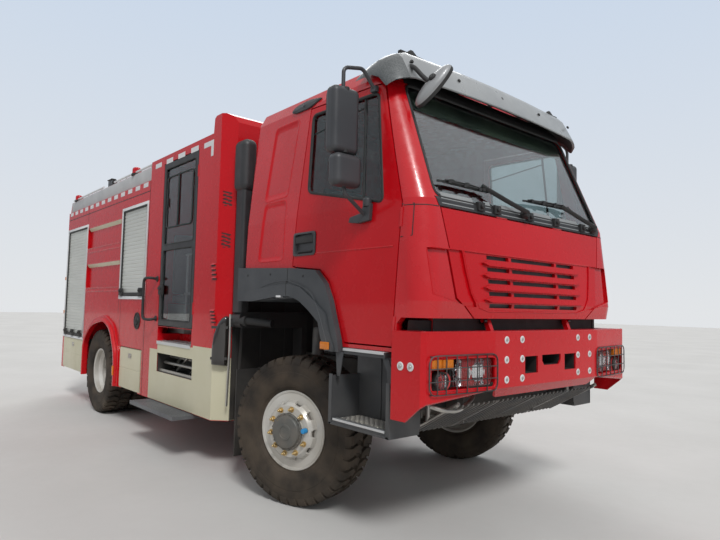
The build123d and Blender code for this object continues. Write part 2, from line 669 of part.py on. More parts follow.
def frame():
    """Ladder frame with its spring hangers and outriggers."""
    rails = None
    for side in (-1, 1):
        outer, inner = side * RAIL_Y, side * (RAIL_Y - RAIL_FLANGE)
        web = block(RAIL_REAR, RAIL_FRONT, outer, side * (RAIL_Y - RAIL_WEB), RAIL_TOP - RAIL_H, RAIL_TOP)
        top = block(RAIL_REAR, RAIL_FRONT, outer, inner, RAIL_TOP - 10, RAIL_TOP)
        foot = block(RAIL_REAR, RAIL_FRONT, outer, inner, RAIL_TOP - RAIL_H, RAIL_TOP - RAIL_H + 10)
        rail = web + top + foot
        rails = rail if rails is None else rails + rail
    for station in CROSS_MEMBERS:
        x = fx(station)
        rails = rails + block(x - 40, x + 40, -RAIL_Y + 5, RAIL_Y - 5, RAIL_TOP - 240, RAIL_TOP - 60)
    rails = rails - rod((fx(-1800), 0, MAIN_SHAFT_Z), (fx(-1700), 0, MAIN_SHAFT_Z), SHAFT_HOLE_R)
    for station in BEARERS:
        x = fx(station)
        rails = rails + block(x - 40, x + 40, -SKIRT_INNER + 60, SKIRT_INNER - 60, RAIL_TOP - 1, DECK_BOTTOM)
    for side in (-1, 1):
        rails = rails + block(fx(-650), fx(-575), side * (RAIL_Y - RAIL_FLANGE), side * RAIL_Y,
                              RAIL_TOP - 5, FLOOR_HIGH - RUN_GAP)
    for axle_x, inner in ((FRONT_AXLE_X, FRONT_SPRING_Y + SPRING_W / 2 + RUN_GAP),
                          (REAR_AXLE_X, RAIL_Y)):
        for end in (-750, 750):
            for side in (-1, 1):
                outer = REAR_SPRING_Y - SPRING_W / 2 - RUN_GAP if axle_x == REAR_AXLE_X else RAIL_Y + 18
                rails = rails + block(axle_x + end - 40, axle_x + end + 40, side * inner, side * outer,
                                      AXLE_Z + 120, RAIL_TOP - 200)
    return rails


# Transfer case: rear and front station, bottom and top
TRANSFER_CASE = (-2250.0, -1900.0, 680.0, 1000.0)
SHAFT_R = 40.0
MAIN_SHAFT_Z = 930.0
SHAFT_HOLE_R = 65.0
SHAFT_END_GAP = 6.0


def driveline():
    """Transfer case hung between the rails, with its shafts to the gearbox and both axles."""
    rear, fore, low, high = TRANSFER_CASE
    case = block(fx(rear), fx(fore), -150, 150, low, high)
    case = chamfer(case.edges().filter_by(Axis.Y), 40)
    for side in (-1, 1):
        case = case + block(fx(-2140), fx(-2010), side * 140, side * (RAIL_Y - RAIL_WEB), 900, 940)
    shafts = (((fx(fore - 20), MAIN_SHAFT_Z), (fx(-1600 - SHAFT_END_GAP), MAIN_SHAFT_Z)),
              ((fx(fore - 20), 740), (FRONT_AXLE_X - 320 - SHAFT_END_GAP, AXLE_Z + 20)),
              ((fx(rear + 20), 780), (REAR_AXLE_X + 380 + SHAFT_END_GAP, AXLE_Z + 30)))
    for (x0, z0), (x1, z1) in shafts:
        along = Vector(x1 - x0, 0, z1 - z0).normalized()
        case = case + rod((x0, 0, z0), (x1, 0, z1), SHAFT_R)
        case = case + rod((x1 - along.X * 90, 0, z1 - along.Z * 90), (x1, 0, z1), SHAFT_R + 26)
    return case


def engine():
    """Engine, gearbox and radiator as plain blocks."""
    motor = block(fx(-560), fx(1060), -300, 300, 800, 1520)
    sump = block(fx(300), fx(1000), -180, 180, 790, 820)
    gearbox = block(fx(-1600), fx(-540), -200, 200, 820, 1050)
    radiator = block(fx(1100), fx(1200), -330, 330, 1070, 1560)
    neck = block(fx(1040), fx(1110), -100, 100, 1100, 1300)
    form = motor + sump + gearbox + neck + radiator
    for station in (-200, 600):
        for side in (-1, 1):
            form = form + block(fx(station), fx(station + 100), side * 290, side * (RAIL_Y - RAIL_WEB),
                                880, 940)
    return form


def bumper():
    """Fabricated steel bumper with swept wings and side cheeks."""
    t = BUMPER_PLATE
    plan = ((BUMPER_FRONT, -BUMPER_FLAT), (BUMPER_WING, -1222), (fx(1525), -1246),
            (BUMPER_BACK, -1250))
    front = list(plan) + [(x, -y) for x, y in reversed(plan)]
    hull = plan_prism(front, 845, BUMPER_TOP)
    hollow = plan_prism([(BUMPER_FRONT - t, -BUMPER_FLAT), (BUMPER_WING - t, -1212),
                         (fx(1525) - t, -1246 + t), (BUMPER_BACK - 10, -1250 + t),
                         (BUMPER_BACK - 10, 1250 - t), (fx(1525) - t, 1246 - t),
                         (BUMPER_WING - t, 1212), (BUMPER_FRONT - t, BUMPER_FLAT)], 800, BUMPER_TOP - t)
    shell = hull - hollow
    inner = plan_prism([(fx(1440), -1100), (fx(1440), 1100), (BUMPER_BACK - 20, 1100),
                        (BUMPER_BACK - 20, -1100)], 800, BUMPER_TOP + 20)
    shell = shell - inner
    under = side_prism(stations(((1200, 835), (1410, 835), (1410, 846), (1552, 966),
                                 (1700, 1019), (1700, 700), (1200, 700))), -1300, 1300)
    centre = side_prism(stations(((1552, 700), (1552, 966), (1610, BUMPER_LOW), (1700, BUMPER_LOW),
                                  (1700, 700))), -1300, 1300)
    shell = shell - under - centre
    for y0, y1 in ((-327, -173), (173, 327)):
        shell = shell - block(fx(1500), fx(1700), y0, y1, 1096, 1209)
    shell = shell - front_prism(((-120, 1212), (120, 1212), (120, 1170), (95, 1141), (-95, 1141),
                                 (-120, 1170)), fx(1500), fx(1700))
    lip = side_prism(stations(((1603, 1021), (1614, 1021), (1562, 957), (1551, 965))), -BUMPER_FLAT, BUMPER_FLAT)
    lip = lip & front_prism(((-BUMPER_FLAT, 1022), (BUMPER_FLAT, 1022), (580, 950), (-580, 950)),
                            fx(1500), fx(1700))
    shell = shell + lip
    for side in (-1, 1):
        window = front_prism([(side * y, z) for y, z in LAMP_WINDOW], fx(1450), fx(1700), 28)
        shell = shell - window
        bracket = block(fx(1180), fx(1440), side * (RAIL_Y + 1), side * (RAIL_Y + 25), 1080, BUMPER_TOP - t)
        beam = block(fx(1425), BUMPER_FRONT - t + 2, side * (RAIL_Y + 1), side * (RAIL_Y + 25),
                     1030, BUMPER_TOP - t + 2)
        foot = block(fx(1080), fx(1230), side * RAIL_Y, side * (RAIL_Y + 25), 900, 1090)
        post = side_prism(((PIVOT_X + 12, BUMPER_TOP - t + 1), (PIVOT_X + 48, BUMPER_TOP - t + 1),
                           (PIVOT_X + 15, PIVOT_Z + 8), (PIVOT_X - 15, PIVOT_Z + 8),
                           (PIVOT_X - 15, PIVOT_Z - 14)), side * POST_IN, side * POST_OUT)
        pin = cross_rod(PIVOT_X, PIVOT_Z, side * POST_IN, side * (POST_OUT + 38), PIVOT_PIN)
        shell = shell + bracket + beam + foot + post + pin
    return shell


def lamps():
    """Headlamp, fog lamp and indicator on the right."""
    head = block(fx(1470), fx(1560), -920, -660, 1045, 1215)
    fog = rod((fx(1450), -1060, 1085), (fx(1548), -1060, 1085), 55)
    amber = block(fx(1450), fx(1545), -1175, -1015, 1155, 1215)
    plate = block(fx(1455), fx(1472), -1185, -655, 1035, BUMPER_TOP - BUMPER_PLATE)
    return head + fog + amber + plate


# Rear lamps: bottom and top
REAR_LAMPS = ((620, 735), (745, 860), (870, 985))


def rear_lamps():
    """Stacked square lamps on the right of the rear wall."""
    forms = []
    for low, high in REAR_LAMPS:
        lamp = Box(40, 120, high - low)
        lamp = chamfer(lamp.faces().sort_by(Axis.X)[0].edges(), 8)
        forms.append(Pos(BODY_REAR - 20 - SEAT_GAP, -1130, (low + high) / 2) * lamp)
    return group(*forms)


def lamp_guard():
    """Wire cage over the right lamp group."""
    wires = []
    for z in (1045, 1125, 1205):
        wires.append(rod((fx(1622), -662, z), (fx(1562), -1205, z), 5))
        wires.append(rod((fx(1614.8), -665, z), (fx(1622), -665, z), 5))
        wires.append(rod((fx(1553.2), -1205, z), (fx(1562), -1205, z), 5))
    for index in range(6):
        y = -668 - index * 105
        x = fx(1622) + (y + 662) * (1622 - 1562) / 543
        wires.append(rod((x, y, 1030), (x, y, 1222), 5))
    cage = wires[0]
    for wire in wires[1:]:
        cage = cage + wire
    return cage


def skid_guard():
    """Slatted guard below the bumper."""
    frame_side = side_prism(stations(((1480, 903), (1490, 927), (1085, 697), (1085, 673))), -870, -850)
    guard = frame_side + mirror(frame_side, about=Plane.XZ)
    for index in range(12):
        x = 1470 - index * 34
        z = 911 - index * 19.8
        guard = guard + block(fx(x - 8), fx(x + 8), -865, 865, z - 12, z + 4)
    for side in (-1, 1):
        guard = guard + block(fx(1130), fx(1190), side * RAIL_Y, side * (RAIL_Y + 12), 715, 900)
    return guard


def cab_steps():
    """Two-tier step box below the cab door, right hand."""
    low = block(STEP_REAR, STEP_FRONT, -1225, -960, 710, 745)
    back = block(STEP_REAR, STEP_FRONT, -975, -950, 745, 1196)
    top = block(fx(760), fx(1180), -1200, -960, 1195, 1226)
    end_a = block(STEP_REAR, STEP_REAR + 25, -1225, -960, 745, 1040)
    end_b = block(STEP_FRONT - 25, STEP_FRONT, -1225, -960, 745, 1040)
    arm = block(fx(940), fx(1020), -960, -RAIL_Y, 800, 860)
    return low + back + top + end_a + end_b + arm


# Corner duct of the intake: distance along the cabin's chamfer and height
DUCT_OUTLINE = ((-78, 962), (66, 950), (66, 1390), (40, 1404), (4, 1380), (-34, 1320), (-62, 1230), (-76, 1120))


def intake():
    """Air intake behind the cab on the right, with its riser and corner duct."""
    pill = pillow(fx(-825), -1120, 2780, 210, 150, 480, 60)
    riser = block(fx(-900), fx(-750), -1170, -1070, 1440, 2560)
    riser = fillet(riser.edges().filter_by(Axis.Z), 30)
    bend = block(fx(-900), fx(-750), -1170, -RAIL_Y, 1300, 1445)
    bend = fillet(bend.edges().filter_by(Axis.X).sort_by(Axis.Y)[:2], 60)
    foot = block(fx(-900), fx(-750), -RAIL_Y - 60, -RAIL_Y, 950, 1320)
    duct = extrude(make_face(Polyline(*DUCT_OUTLINE, close=True)), amount=62)
    duct = chamfer(duct.faces().sort_by(Axis.Z)[-1].edges(), 16)
    middle = CREW_CHAMFER / 2 - RUN_GAP
    chamfer_plane = Plane(origin=(CREW_FRONT - middle, -BODY_HALF + middle, 0), x_dir=(1, 1, 0), z_dir=(1, -1, 0))
    duct = chamfer_plane * duct
    neck = block(fx(-950), fx(-880), -1180, -1100, 1310, 1380)
    strap = side_prism(stations(((-925, 560), (-895, 560), (-845, 1310), (-875, 1310))), -1085, -1072)
    return pill + riser + bend + foot + duct + neck + strap


def mudflaps():
    """Rubber flaps behind the front and rear wheels, right hand."""
    front = block(fx(-750), fx(-738), -1180, -880, 190, 940)
    rear = block(REAR_AXLE_X - 630, REAR_AXLE_X - 620, -1200, -620, 260, 950)
    stay_front = rod((fx(-744), -960, 930), (fx(-744), -RAIL_Y, 930), 15)
    stay_rear = rod((REAR_AXLE_X - 620, -700, 930), (REAR_AXLE_X - 620, -RAIL_Y, 930), 15)
    return group(front + stay_front, rear + stay_rear)


def skirted(x0, x1, top):
    """Box body over the frame with skirts on both sides, outer form."""
    upper = block(x0, x1, -BODY_HALF, BODY_HALF, DECK_BOTTOM, top)
    right = block(x0, x1, -BODY_HALF, -SKIRT_INNER, SKIRT_BOTTOM, DECK_BOTTOM)
    return upper + right + left(right)


# Vent slots in the cabin's front chamfers: bottom and top of each group
CHAMFER_SLOTS = ((2430, 2570), (2040, 2180))
SLOT_COUNT = 4


def crew_cabin():
    """Hollow crew cabin with its door openings and step recesses."""
    w = BODY_WALL
    outer = skirted(CREW_REAR, CREW_FRONT, CREW_TOP)
    cheek = plan_prism(((CREW_FRONT - CREW_CHAMFER - 10, -BODY_HALF - 10), (CREW_FRONT + 10, -BODY_HALF - 10),
                        (CREW_FRONT + 10, -BODY_HALF + CREW_CHAMFER + 10)), 300, CREW_TOP + 200)
    hump = side_prism(stations(((-1230, CREW_TOP - 5), (-1215, 3290), (-1180, 3310), (-1040, 3310),
                                (-985, 3280), (-956, 3220), (-956, CREW_TOP - 5))), -BODY_HALF, BODY_HALF)
    outer = outer + hump - cheek - left(cheek)
    room = block(CREW_REAR + w, CREW_FRONT - w, -BODY_HALF + w, BODY_HALF - w, DECK_BOTTOM + w,
                 CREW_TOP - w)
    room = room - plan_prism(((CREW_FRONT - CREW_CHAMFER - 60, -BODY_HALF), (CREW_FRONT, -BODY_HALF),
                              (CREW_FRONT, -BODY_HALF + CREW_CHAMFER + 60)), 300, 3400)
    room = room - plan_prism(((CREW_FRONT - CREW_CHAMFER - 60, BODY_HALF), (CREW_FRONT, BODY_HALF),
                              (CREW_FRONT, BODY_HALF - CREW_CHAMFER - 60)), 300, 3400)
    shell = outer - room
    for side in (-1, 1):
        y0, y1 = side * (BODY_HALF - w - 5), side * (BODY_HALF + 10)
        doorway = block(CREW_DOOR_REAR - SEAM, CREW_DOOR_FRONT + SEAM, y0, y1,
                        CREW_DOOR_BOTTOM - SEAM, CREW_DOOR_TOP + SEAM)
        upper_step = block(CREW_DOOR_REAR, CREW_DOOR_FRONT, side * (BODY_HALF - 250), y1, 1085, 1250)
        lower_step = block(fx(-2400), fx(-1500), side * (BODY_HALF - 220), y1, 766, 967)
        skirt_room = block(CREW_REAR + w, CREW_FRONT - w - 120, side * (SKIRT_INNER + 30),
                           side * (BODY_HALF - 300), SKIRT_BOTTOM - 10, DECK_BOTTOM - 40)
        shell = shell - doorway - upper_step - lower_step - skirt_room
        for low, high in CHAMFER_SLOTS:
            for index in range(SLOT_COUNT):
                z = low + (index + 0.5) * (high - low) / SLOT_COUNT
                slot = Pos(CREW_FRONT - CREW_CHAMFER / 2, side * (BODY_HALF - CREW_CHAMFER / 2), z)
                shell = shell - slot * Rot(0, 0, side * -45) * Rot(0, side * -12, 0) * Box(90, 16, 14)
        hinge_x, hinge_y = CREW_DOOR_FRONT + SEAM / 2, side * BODY_HALF
        for z0, z1 in ((1400, 1520), (2780, 2900)):
            pin = rod((hinge_x, hinge_y, z0), (hinge_x, hinge_y, z1), HINGE_PIN)
            lug = block(hinge_x, hinge_x + 20, side * (BODY_HALF - 12), side * (BODY_HALF + 2), z0, z1)
            shell = shell + pin + lug
    return shell


def crew_door():
    """Frame of the right crew door."""
    y0, y1 = -BODY_HALF, -BODY_HALF + CREW_DOOR_T
    door = block(CREW_DOOR_REAR, CREW_DOOR_FRONT, y0, y1, CREW_DOOR_BOTTOM, CREW_DOOR_TOP)
    edge = 55
    for z0, z1 in ((CREW_DOOR_BOTTOM + 60, 2085), (2145, CREW_DOOR_TOP - 60)):
        door = door - block(CREW_DOOR_REAR + edge, CREW_DOOR_FRONT - edge, y0 - 5, y1 + 5, z0, z1)
    return door


def crew_glass():
    """Panes of the right crew door."""
    y0 = -BODY_HALF + 14
    edge = 55 + SEAT_GAP
    low = block(CREW_DOOR_REAR + edge, CREW_DOOR_FRONT - edge, y0, y0 + 6,
                CREW_DOOR_BOTTOM + 60 + SEAT_GAP, 2085 - SEAT_GAP)
    high = block(CREW_DOOR_REAR + edge, CREW_DOOR_FRONT - edge, y0, y0 + 6,
                 2145 + SEAT_GAP, CREW_DOOR_TOP - 60 - SEAT_GAP)
    return group(low, high)


# Shutter openings on each side: rear station, front station, bottom, top
SHUTTERS = ((-3730, -2890, 1580, 2670), (-6380, -5330, 970, 2620))
# Side recesses of the tank section: bottom, top
RECESSES = ((2280, 2590), (1700, 2050))
# Lower flaps: name, rear station, front station, bottom, top
LOWER_FLAPS = (("front", -3610, -2890, 460, 950), ("rear", -6350, -5230, 460, 930))
REAR_SHUTTER = (-900, 900, 1190, 2620)
# Rear wheel arch, stations from the rear axle and heights
ARCH_OUTLINE = ((-645, 300), (-645, 970), (-262, 1230), (268, 1312), (635, 1196), (850, 865), (860, 300))


def equipment_body():
    """Hollow equipment body with its lockers, recesses and wheel arches."""
    w = BODY_WALL
    outer = skirted(BODY_REAR, CREW_REAR - BODY_GAP, BODY_TOP)
    front = CREW_REAR - BODY_GAP
    void = block(BODY_REAR + w, front - w, -BODY_HALF + w, BODY_HALF - w, DECK_BOTTOM + w, BODY_TOP - w)
    arch_line = [(x - WHEELBASE, z) for x, z in ARCH_OUTLINE]
    for side in (-1, 1):
        start, end = sorted((side * ARCH_INNER, side * ARCH_REACH))
        outer = outer - side_cut(arch_line, 0, start, end)
        void = void - side_cut(arch_line, w, start - w, end + w)
    shell = outer - void
    fascia = side_prism(((BODY_REAR, BODY_TOP), (BODY_REAR + 60, FASCIA_TOP), (front, FASCIA_TOP),
                         (front, BODY_TOP)), -BODY_HALF + 20, BODY_HALF - 20)
    fascia = fascia - block(BODY_REAR + 90, CREW_REAR, -BODY_HALF + 110, BODY_HALF - 110,
                            BODY_TOP + 0.01, FASCIA_TOP + 10)
    shell = shell + fascia
    for side in (-1, 1):
        y1 = side * (BODY_HALF + 10)
        for rear, fore, low, high in SHUTTERS:
            shell = shell - block(fx(rear), fx(fore), side * (BODY_HALF - w - 5), y1, low, high)
        for low, high in RECESSES:
            shell = shell - block(fx(-5280), fx(-3780), side * (BODY_HALF - 30), y1, low, high)
        for name, rear, fore, low, high in LOWER_FLAPS:
            shell = shell - block(fx(rear) - SEAM, fx(fore) + SEAM, side * (BODY_HALF - 40), y1,
                                  low - SEAM - 5, high + SEAM)
            shell = shell - block(fx(rear) + 5, fx(fore) - 5, side * (SKIRT_INNER + w), y1,
                                  SKIRT_BOTTOM + 50, high - 5)
            for start, end in ((fx(rear) - 30, fx(rear) + 60), (fx(fore) - 60, fx(fore) + 30)):
                shell = shell + rod((start, side * BODY_HALF, low - SEAM / 2),
                                    (end, side * BODY_HALF, low - SEAM / 2), HINGE_PIN)
    y0, y1, z0, z1 = REAR_SHUTTER
    shell = shell - block(BODY_REAR - 10, BODY_REAR + w + 5, y0, y1, z0, z1)
    return shell


SLAT_PITCH = 46.0
SLAT_CROWN = 5.0
SLAT_EDGE = 6.0
CURTAIN_T = 12.0


def slat_outline(face, inward, low, high):
    """Curtain section: depth and height, slats crowned outwards from the face."""
    count = round((high - low) / SLAT_PITCH)
    step = (high - low) / count
    points = []
    for index in range(count):
        start = low + index * step
        points.append((face + inward * SLAT_CROWN, start))
        points.append((face, start + SLAT_EDGE))
        points.append((face, start + step - SLAT_EDGE))
    points.append((face + inward * SLAT_CROWN, high))
    return points + [(face + inward * CURTAIN_T, high), (face + inward * CURTAIN_T, low)]


def shutters():
    """Roller shutters on both sides and at the rear."""
    forms = []
    for rear, front, low, high in SHUTTERS:
        outline = slat_outline(-BODY_HALF + 20, 1, low + SEAT_GAP, high - SEAT_GAP)
        forms.append(both(front_prism(outline, fx(rear) + SEAT_GAP, fx(front) - SEAT_GAP)))
    y0, y1, z0, z1 = REAR_SHUTTER
    outline = slat_outline(BODY_REAR + 20, 1, z0 + SEAT_GAP, z1 - SEAT_GAP)
    forms.append(side_prism(outline, y0 + SEAT_GAP, y1 - SEAT_GAP))
    return group(*forms)


def lower_flap(rear, front, low, high):
    """Fold-down flap of the right skirt."""
    return block(fx(rear), fx(front), -BODY_HALF, -BODY_HALF + FLAP_T, low, high)


def crew_step():
    """Slide-out step below the right crew door."""
    plate = block(fx(-2600), fx(-1450), -1450, -1100, 405, 440)
    for station in (-2500, -1610):
        plate = plate + block(fx(station), fx(station + 60), -1240, -1110, 439, SKIRT_BOTTOM - RUN_GAP)
    return plate


# Beacon: radius and height above its foot
BEACON_OUTLINE = ((0, 0), (66, 0), (66, 26), (56, 32), (54, 84), (38, 106), (0, 112))
# Floodlight, seen from the front: distance inboard from its lens edge and height above its foot
FLOOD_OUTLINE = ((0, 18), (14, 0), (70, 0), (70, 96), (46, 118), (-10, 120), (-10, 112), (8, 106))


def roof_lights():
    """Beacons and floodlights on the parapet."""
    forms = []
    foot = FASCIA_TOP + RUN_GAP
    profile = Plane.XZ * make_face(Polyline(*BEACON_OUTLINE, close=True))
    beacon = revolve(profile, axis=Axis.Z)
    for station in (-3500, -6150):
        forms.append(Pos(fx(station), -1190, foot) * beacon)
    outline = [(-1200 + inboard, foot + height) for inboard, height in FLOOD_OUTLINE]
    forms.append(front_prism(outline, fx(-4650), fx(-4450)))
    return both(group(*forms))


# Beacon bar: station and height above the roof
BAR_OUTLINE = ((575, 0), (570, 30), (560, 34), (566, 96), (592, 128), (628, 135), (722, 135),
               (758, 128), (784, 96), (790, 34), (780, 30), (775, 0))


def cab_beacon():
    """Red beacon bar on the cab roof."""
    foot = CAB_ROOF + RUN_GAP
    bar = side_prism(stations([(x, foot + height) for x, height in BAR_OUTLINE]), -900, 900)
    ends = front_prism(((-900, foot), (-900, foot + 40), (-860, foot + 140), (860, foot + 140),
                        (900, foot + 40), (900, foot)), fx(500), fx(850))
    return bar & ends


# Rear ladder: stringer places across, foot, top and how far it stands off the body
LADDER_STRINGERS = (945.0, 1215.0)
LADDER_FOOT = 1100.0
LADDER_TOP = 3200.0
LADDER_OFF = 90.0
LADDER_TUBE = 14.0
LADDER_RUNGS = 7


def ladder():
    """Tube ladder on the rear wall, left of the shutter."""
    x = BODY_REAR - LADDER_OFF
    inner, outer = LADDER_STRINGERS
    form = None
    for y in LADDER_STRINGERS:
        stringer = tube_path(((BODY_REAR - RUN_GAP, y, LADDER_FOOT), (x, y, LADDER_FOOT), (x, y, LADDER_TOP),
                              (BODY_REAR + 70, y, LADDER_TOP), (BODY_REAR + 70, y, FASCIA_TOP + RUN_GAP)),
                             LADDER_TUBE, 50)
        form = stringer if form is None else form + stringer
    for index in range(LADDER_RUNGS):
        z = LADDER_FOOT + 130 + index * 300
        form = form + rod((x, inner, z), (x, outer, z), LADDER_TUBE - 3)
    return form


def rear_bar():
    """Under-run bar behind the body."""
    bar = block(REAR_BAR_X, REAR_BAR_X + 60, -1200, 1200, 450, 560)
    for side in (-1, 1):
        bar = bar + block(REAR_BAR_X + 50, BODY_REAR, side * 1100, side * 1160, 470, 540)
    return bar


def seats():
    """Two cab seats."""
    parts = None
    for side in (-1, 1):
        base = block(fx(120), fx(560), side * 620 - 230, side * 620 + 230, FLOOR_HIGH + FLOOR_T, 1860)
        cushion = pillow(fx(340), side * 620, 1930, 520, 500, 140, 45)
        back = side_prism(stations(((60, 1900), (180, 1900), (110, 2500), (10, 2500))),
                          side * 620 - 240, side * 620 + 240)
        back = fillet(back.edges().group_by(Axis.Z)[-1], 35)
        rest = pillow(fx(62), side * 620, 2590, 100, 300, 200, 40)
        seat = base + cushion + back + rest
        parts = seat if parts is None else group(parts, seat)
    return parts


# Steering wheel: hub centre and the lean of its column
WHEEL_HUB = (fx(900), 620.0, 2150.0)
COLUMN_LEAN = 35.0
COLUMN_AXIS = (-math.sin(math.radians(COLUMN_LEAN)), 0.0, math.cos(math.radians(COLUMN_LEAN)))


def dashboard():
    """Dashboard across the cab."""
    wall = 1360 - SEAT_GAP
    dash = side_prism(stations(((1070, 1900), (1000, 2080), (1040, 2170), (1340, 2140), (wall, 1700),
                                (1250, 1700))), -1080, 1080)
    start = 20 + RUN_GAP
    column = rod((WHEEL_HUB[0] - start * COLUMN_AXIS[0], WHEEL_HUB[1], WHEEL_HUB[2] - start * COLUMN_AXIS[2]),
                 (WHEEL_HUB[0] - 300 * COLUMN_AXIS[0], WHEEL_HUB[1], WHEEL_HUB[2] - 300 * COLUMN_AXIS[2]), 28)
    return dash + column


def steering_wheel():
    """Steering wheel with its column, left seat."""
    tilt = Rot(0, -COLUMN_LEAN, 0)
    ring = Torus(225, 16)
    hub = Cylinder(55, 40)
    wheel = ring + hub
    for angle in (0, 120, 240):
        wheel = wheel + Rot(0, 0, angle) * Pos(115, 0, 0) * Box(230, 30, 14)
    return Pos(*WHEEL_HUB) * tilt * wheel


def mirrors():
    """Mirror heads on their tube arm, right hand."""
    big = pillow(fx(945), -1400, 2717, 110, 220, 440, 40)
    small = pillow(fx(985), -1400, 2383, 110, 220, 210, 40)
    arm = tube_path(((fx(965), -1145, 2995), (fx(960), -1250, 3110), (fx(945), -1400, 3080),
                     (fx(945), -1400, 2400), (fx(985), -1400, 2240), (fx(960), -1199, 2120)), 13, 45)
    lug = block(fx(930), fx(1000), -1200, -1182.2, 2085, 2160)
    pad = block(fx(940), fx(990), -1160, -1127.8, 2975, 3012)
    return big + small + arm + lug + pad


BENCH_PLACES = 4


def crew_seats():
    """Bench in the crew cabin."""
    base = block(CREW_REAR + BODY_WALL + RUN_GAP, CREW_REAR + 500, -1000, 1000, DECK_BOTTOM + BODY_WALL, 1500)
    form = base
    for index in range(BENCH_PLACES):
        y = (index - (BENCH_PLACES - 1) / 2) * 2000 / BENCH_PLACES
        width = 2000 / BENCH_PLACES - 12
        cushion = pillow(CREW_REAR + 300, y, 1555, 460, width, 130, 40)
        back = pillow(CREW_REAR + BODY_WALL + RUN_GAP + 55, y, 1965, 110, width, 760, 40)
        form = form + cushion + back
    return form


node("frame", frame())
node("engine", engine())
node("driveline", driveline())
node("front_axle", front_axle())
node("rear_axle", rear_axle())
node("bumper", bumper())
node("lamps", both(group(lamps(), rear_lamps())))
node("lamp_guards", both(lamp_guard()))
node("skid_guard", skid_guard())
node("cab_shell", cab_shell())
node("windscreen", windscreen())
node("cowl", cowl())
node("front_flap", front_flap())
node("grille_back", grille_back())
visor_form = visor()
node("visor", visor_form)
node("front_mirror", front_mirror(visor_form))
node("flares", both(flares()))
node("seats", seats())
node("dashboard", dashboard())
node("steering_wheel", steering_wheel())
door_right = cab_door()
node("cab_door_right", door_right)
node("cab_door_left", left(door_right))
glass_right = door_glass()
node("door_glass_right", glass_right)
node("door_glass_left", left(glass_right))
mirror_right = mirrors()
node("mirrors_right", mirror_right)
node("mirrors_left", left(mirror_right))
node("cab_steps", both(cab_steps()))
node("intake", intake())
node("mudflaps", both(mudflaps()))
node("crew_cabin", crew_cabin())
crew_door_right = crew_door()
node("crew_door_right", crew_door_right)
node("crew_door_left", left(crew_door_right))
crew_glass_right = crew_glass()
node("crew_glass_right", crew_glass_right)
node("crew_glass_left", left(crew_glass_right))
node("crew_seats", crew_seats())
step_right = crew_step()
node("crew_step_right", step_right)
node("crew_step_left", left(step_right))
node("equipment_body", equipment_body())
node("shutters", shutters())
node("roof_lights", roof_lights())
node("cab_beacon", cab_beacon())
node("rear_bar", rear_bar())
node("ladder", ladder())
for flap_name, flap_rear, flap_front, flap_low, flap_high in LOWER_FLAPS:
    flap = lower_flap(flap_rear, flap_front, flap_low, flap_high)
    node("locker_flap_" + flap_name + "_right", flap)
    node("locker_flap_" + flap_name + "_left", left(flap))
front_wheel = rim() + disc() + front_hub()
front_tyre = tyre()
knuckle_form = knuckle()
for side_name, side in (("right", -1), ("left", 1)):
    node("knuckle_" + side_name, steered(knuckle_form, side))
    node("wheel_front_" + side_name, steered(front_wheel, side))
    node("tyre_front_" + side_name, steered(front_tyre, side))
plane = REAR_WHEEL_Y - DUAL_SPACING / 2
outer_wheel = Pos(0, DUAL_SPACING / 2, 0) * (rim() + disc(-1))
inner_wheel = Pos(0, -DUAL_SPACING / 2, 0) * (rim() + disc(1))
twin_wheel = outer_wheel + inner_wheel + rear_hub()
twin_tyres = group(Pos(0, DUAL_SPACING / 2, 0) * tyre(), Pos(0, -DUAL_SPACING / 2, 0) * tyre())
for side_name, side in (("right", -1), ("left", 1)):
    place = Pos(REAR_AXLE_X, side * plane, AXLE_Z)
    wheel_form = twin_wheel if side > 0 else mirror(twin_wheel, about=Plane.XZ)
    tyre_form = twin_tyres if side > 0 else mirror(twin_tyres, about=Plane.XZ)
    node("wheel_rear_" + side_name, place * wheel_form)
    node("tyre_rear_" + side_name, place * tyre_form)
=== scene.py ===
import math
import bmesh
import bpy
from mathutils import Matrix, Vector


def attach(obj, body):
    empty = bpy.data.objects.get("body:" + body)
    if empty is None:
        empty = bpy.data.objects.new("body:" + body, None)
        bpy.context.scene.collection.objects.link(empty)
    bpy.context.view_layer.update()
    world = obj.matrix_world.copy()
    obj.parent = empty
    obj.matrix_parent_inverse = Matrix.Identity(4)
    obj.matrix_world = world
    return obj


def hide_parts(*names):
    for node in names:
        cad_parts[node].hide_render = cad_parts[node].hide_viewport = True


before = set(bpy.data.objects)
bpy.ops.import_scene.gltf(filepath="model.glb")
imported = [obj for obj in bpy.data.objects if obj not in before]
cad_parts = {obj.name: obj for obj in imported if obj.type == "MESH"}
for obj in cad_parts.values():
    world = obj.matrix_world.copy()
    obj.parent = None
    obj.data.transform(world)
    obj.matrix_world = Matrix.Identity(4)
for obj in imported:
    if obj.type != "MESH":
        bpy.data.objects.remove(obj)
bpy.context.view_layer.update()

# Forms are built in stations, metres forward from the front axle, which stands at this x of the truck's frame
FRONT_AXLE = 2.48
MIRRORED = Matrix.Diagonal((1, -1, 1, 1))
WHEELBASE = 4.52
AXLE_Z = 0.562
STEERED = 18.0
# Half widths of the body and of the cab, the body's rear wall and the cowl's lower edge
SIDE_Y = 1.25
CAB_Y = 1.185
REAR_X = -6.446
COWL_Z = 2.152

# Materials

def node(tree, kind, links=(), **values):
    """Shader node with its values set and its inputs linked."""
    made = tree.nodes.new(kind)
    for key, value in values.items():
        setattr(made, key, value)
    feed(tree, made, links)
    return made


def feed(tree, made, links):
    """Link each source to its socket, or set a plain value there."""
    for socket, source in links:
        if hasattr(source, "is_output"):
            tree.links.new(source, made.inputs[socket])
        else:
            made.inputs[socket].default_value = source


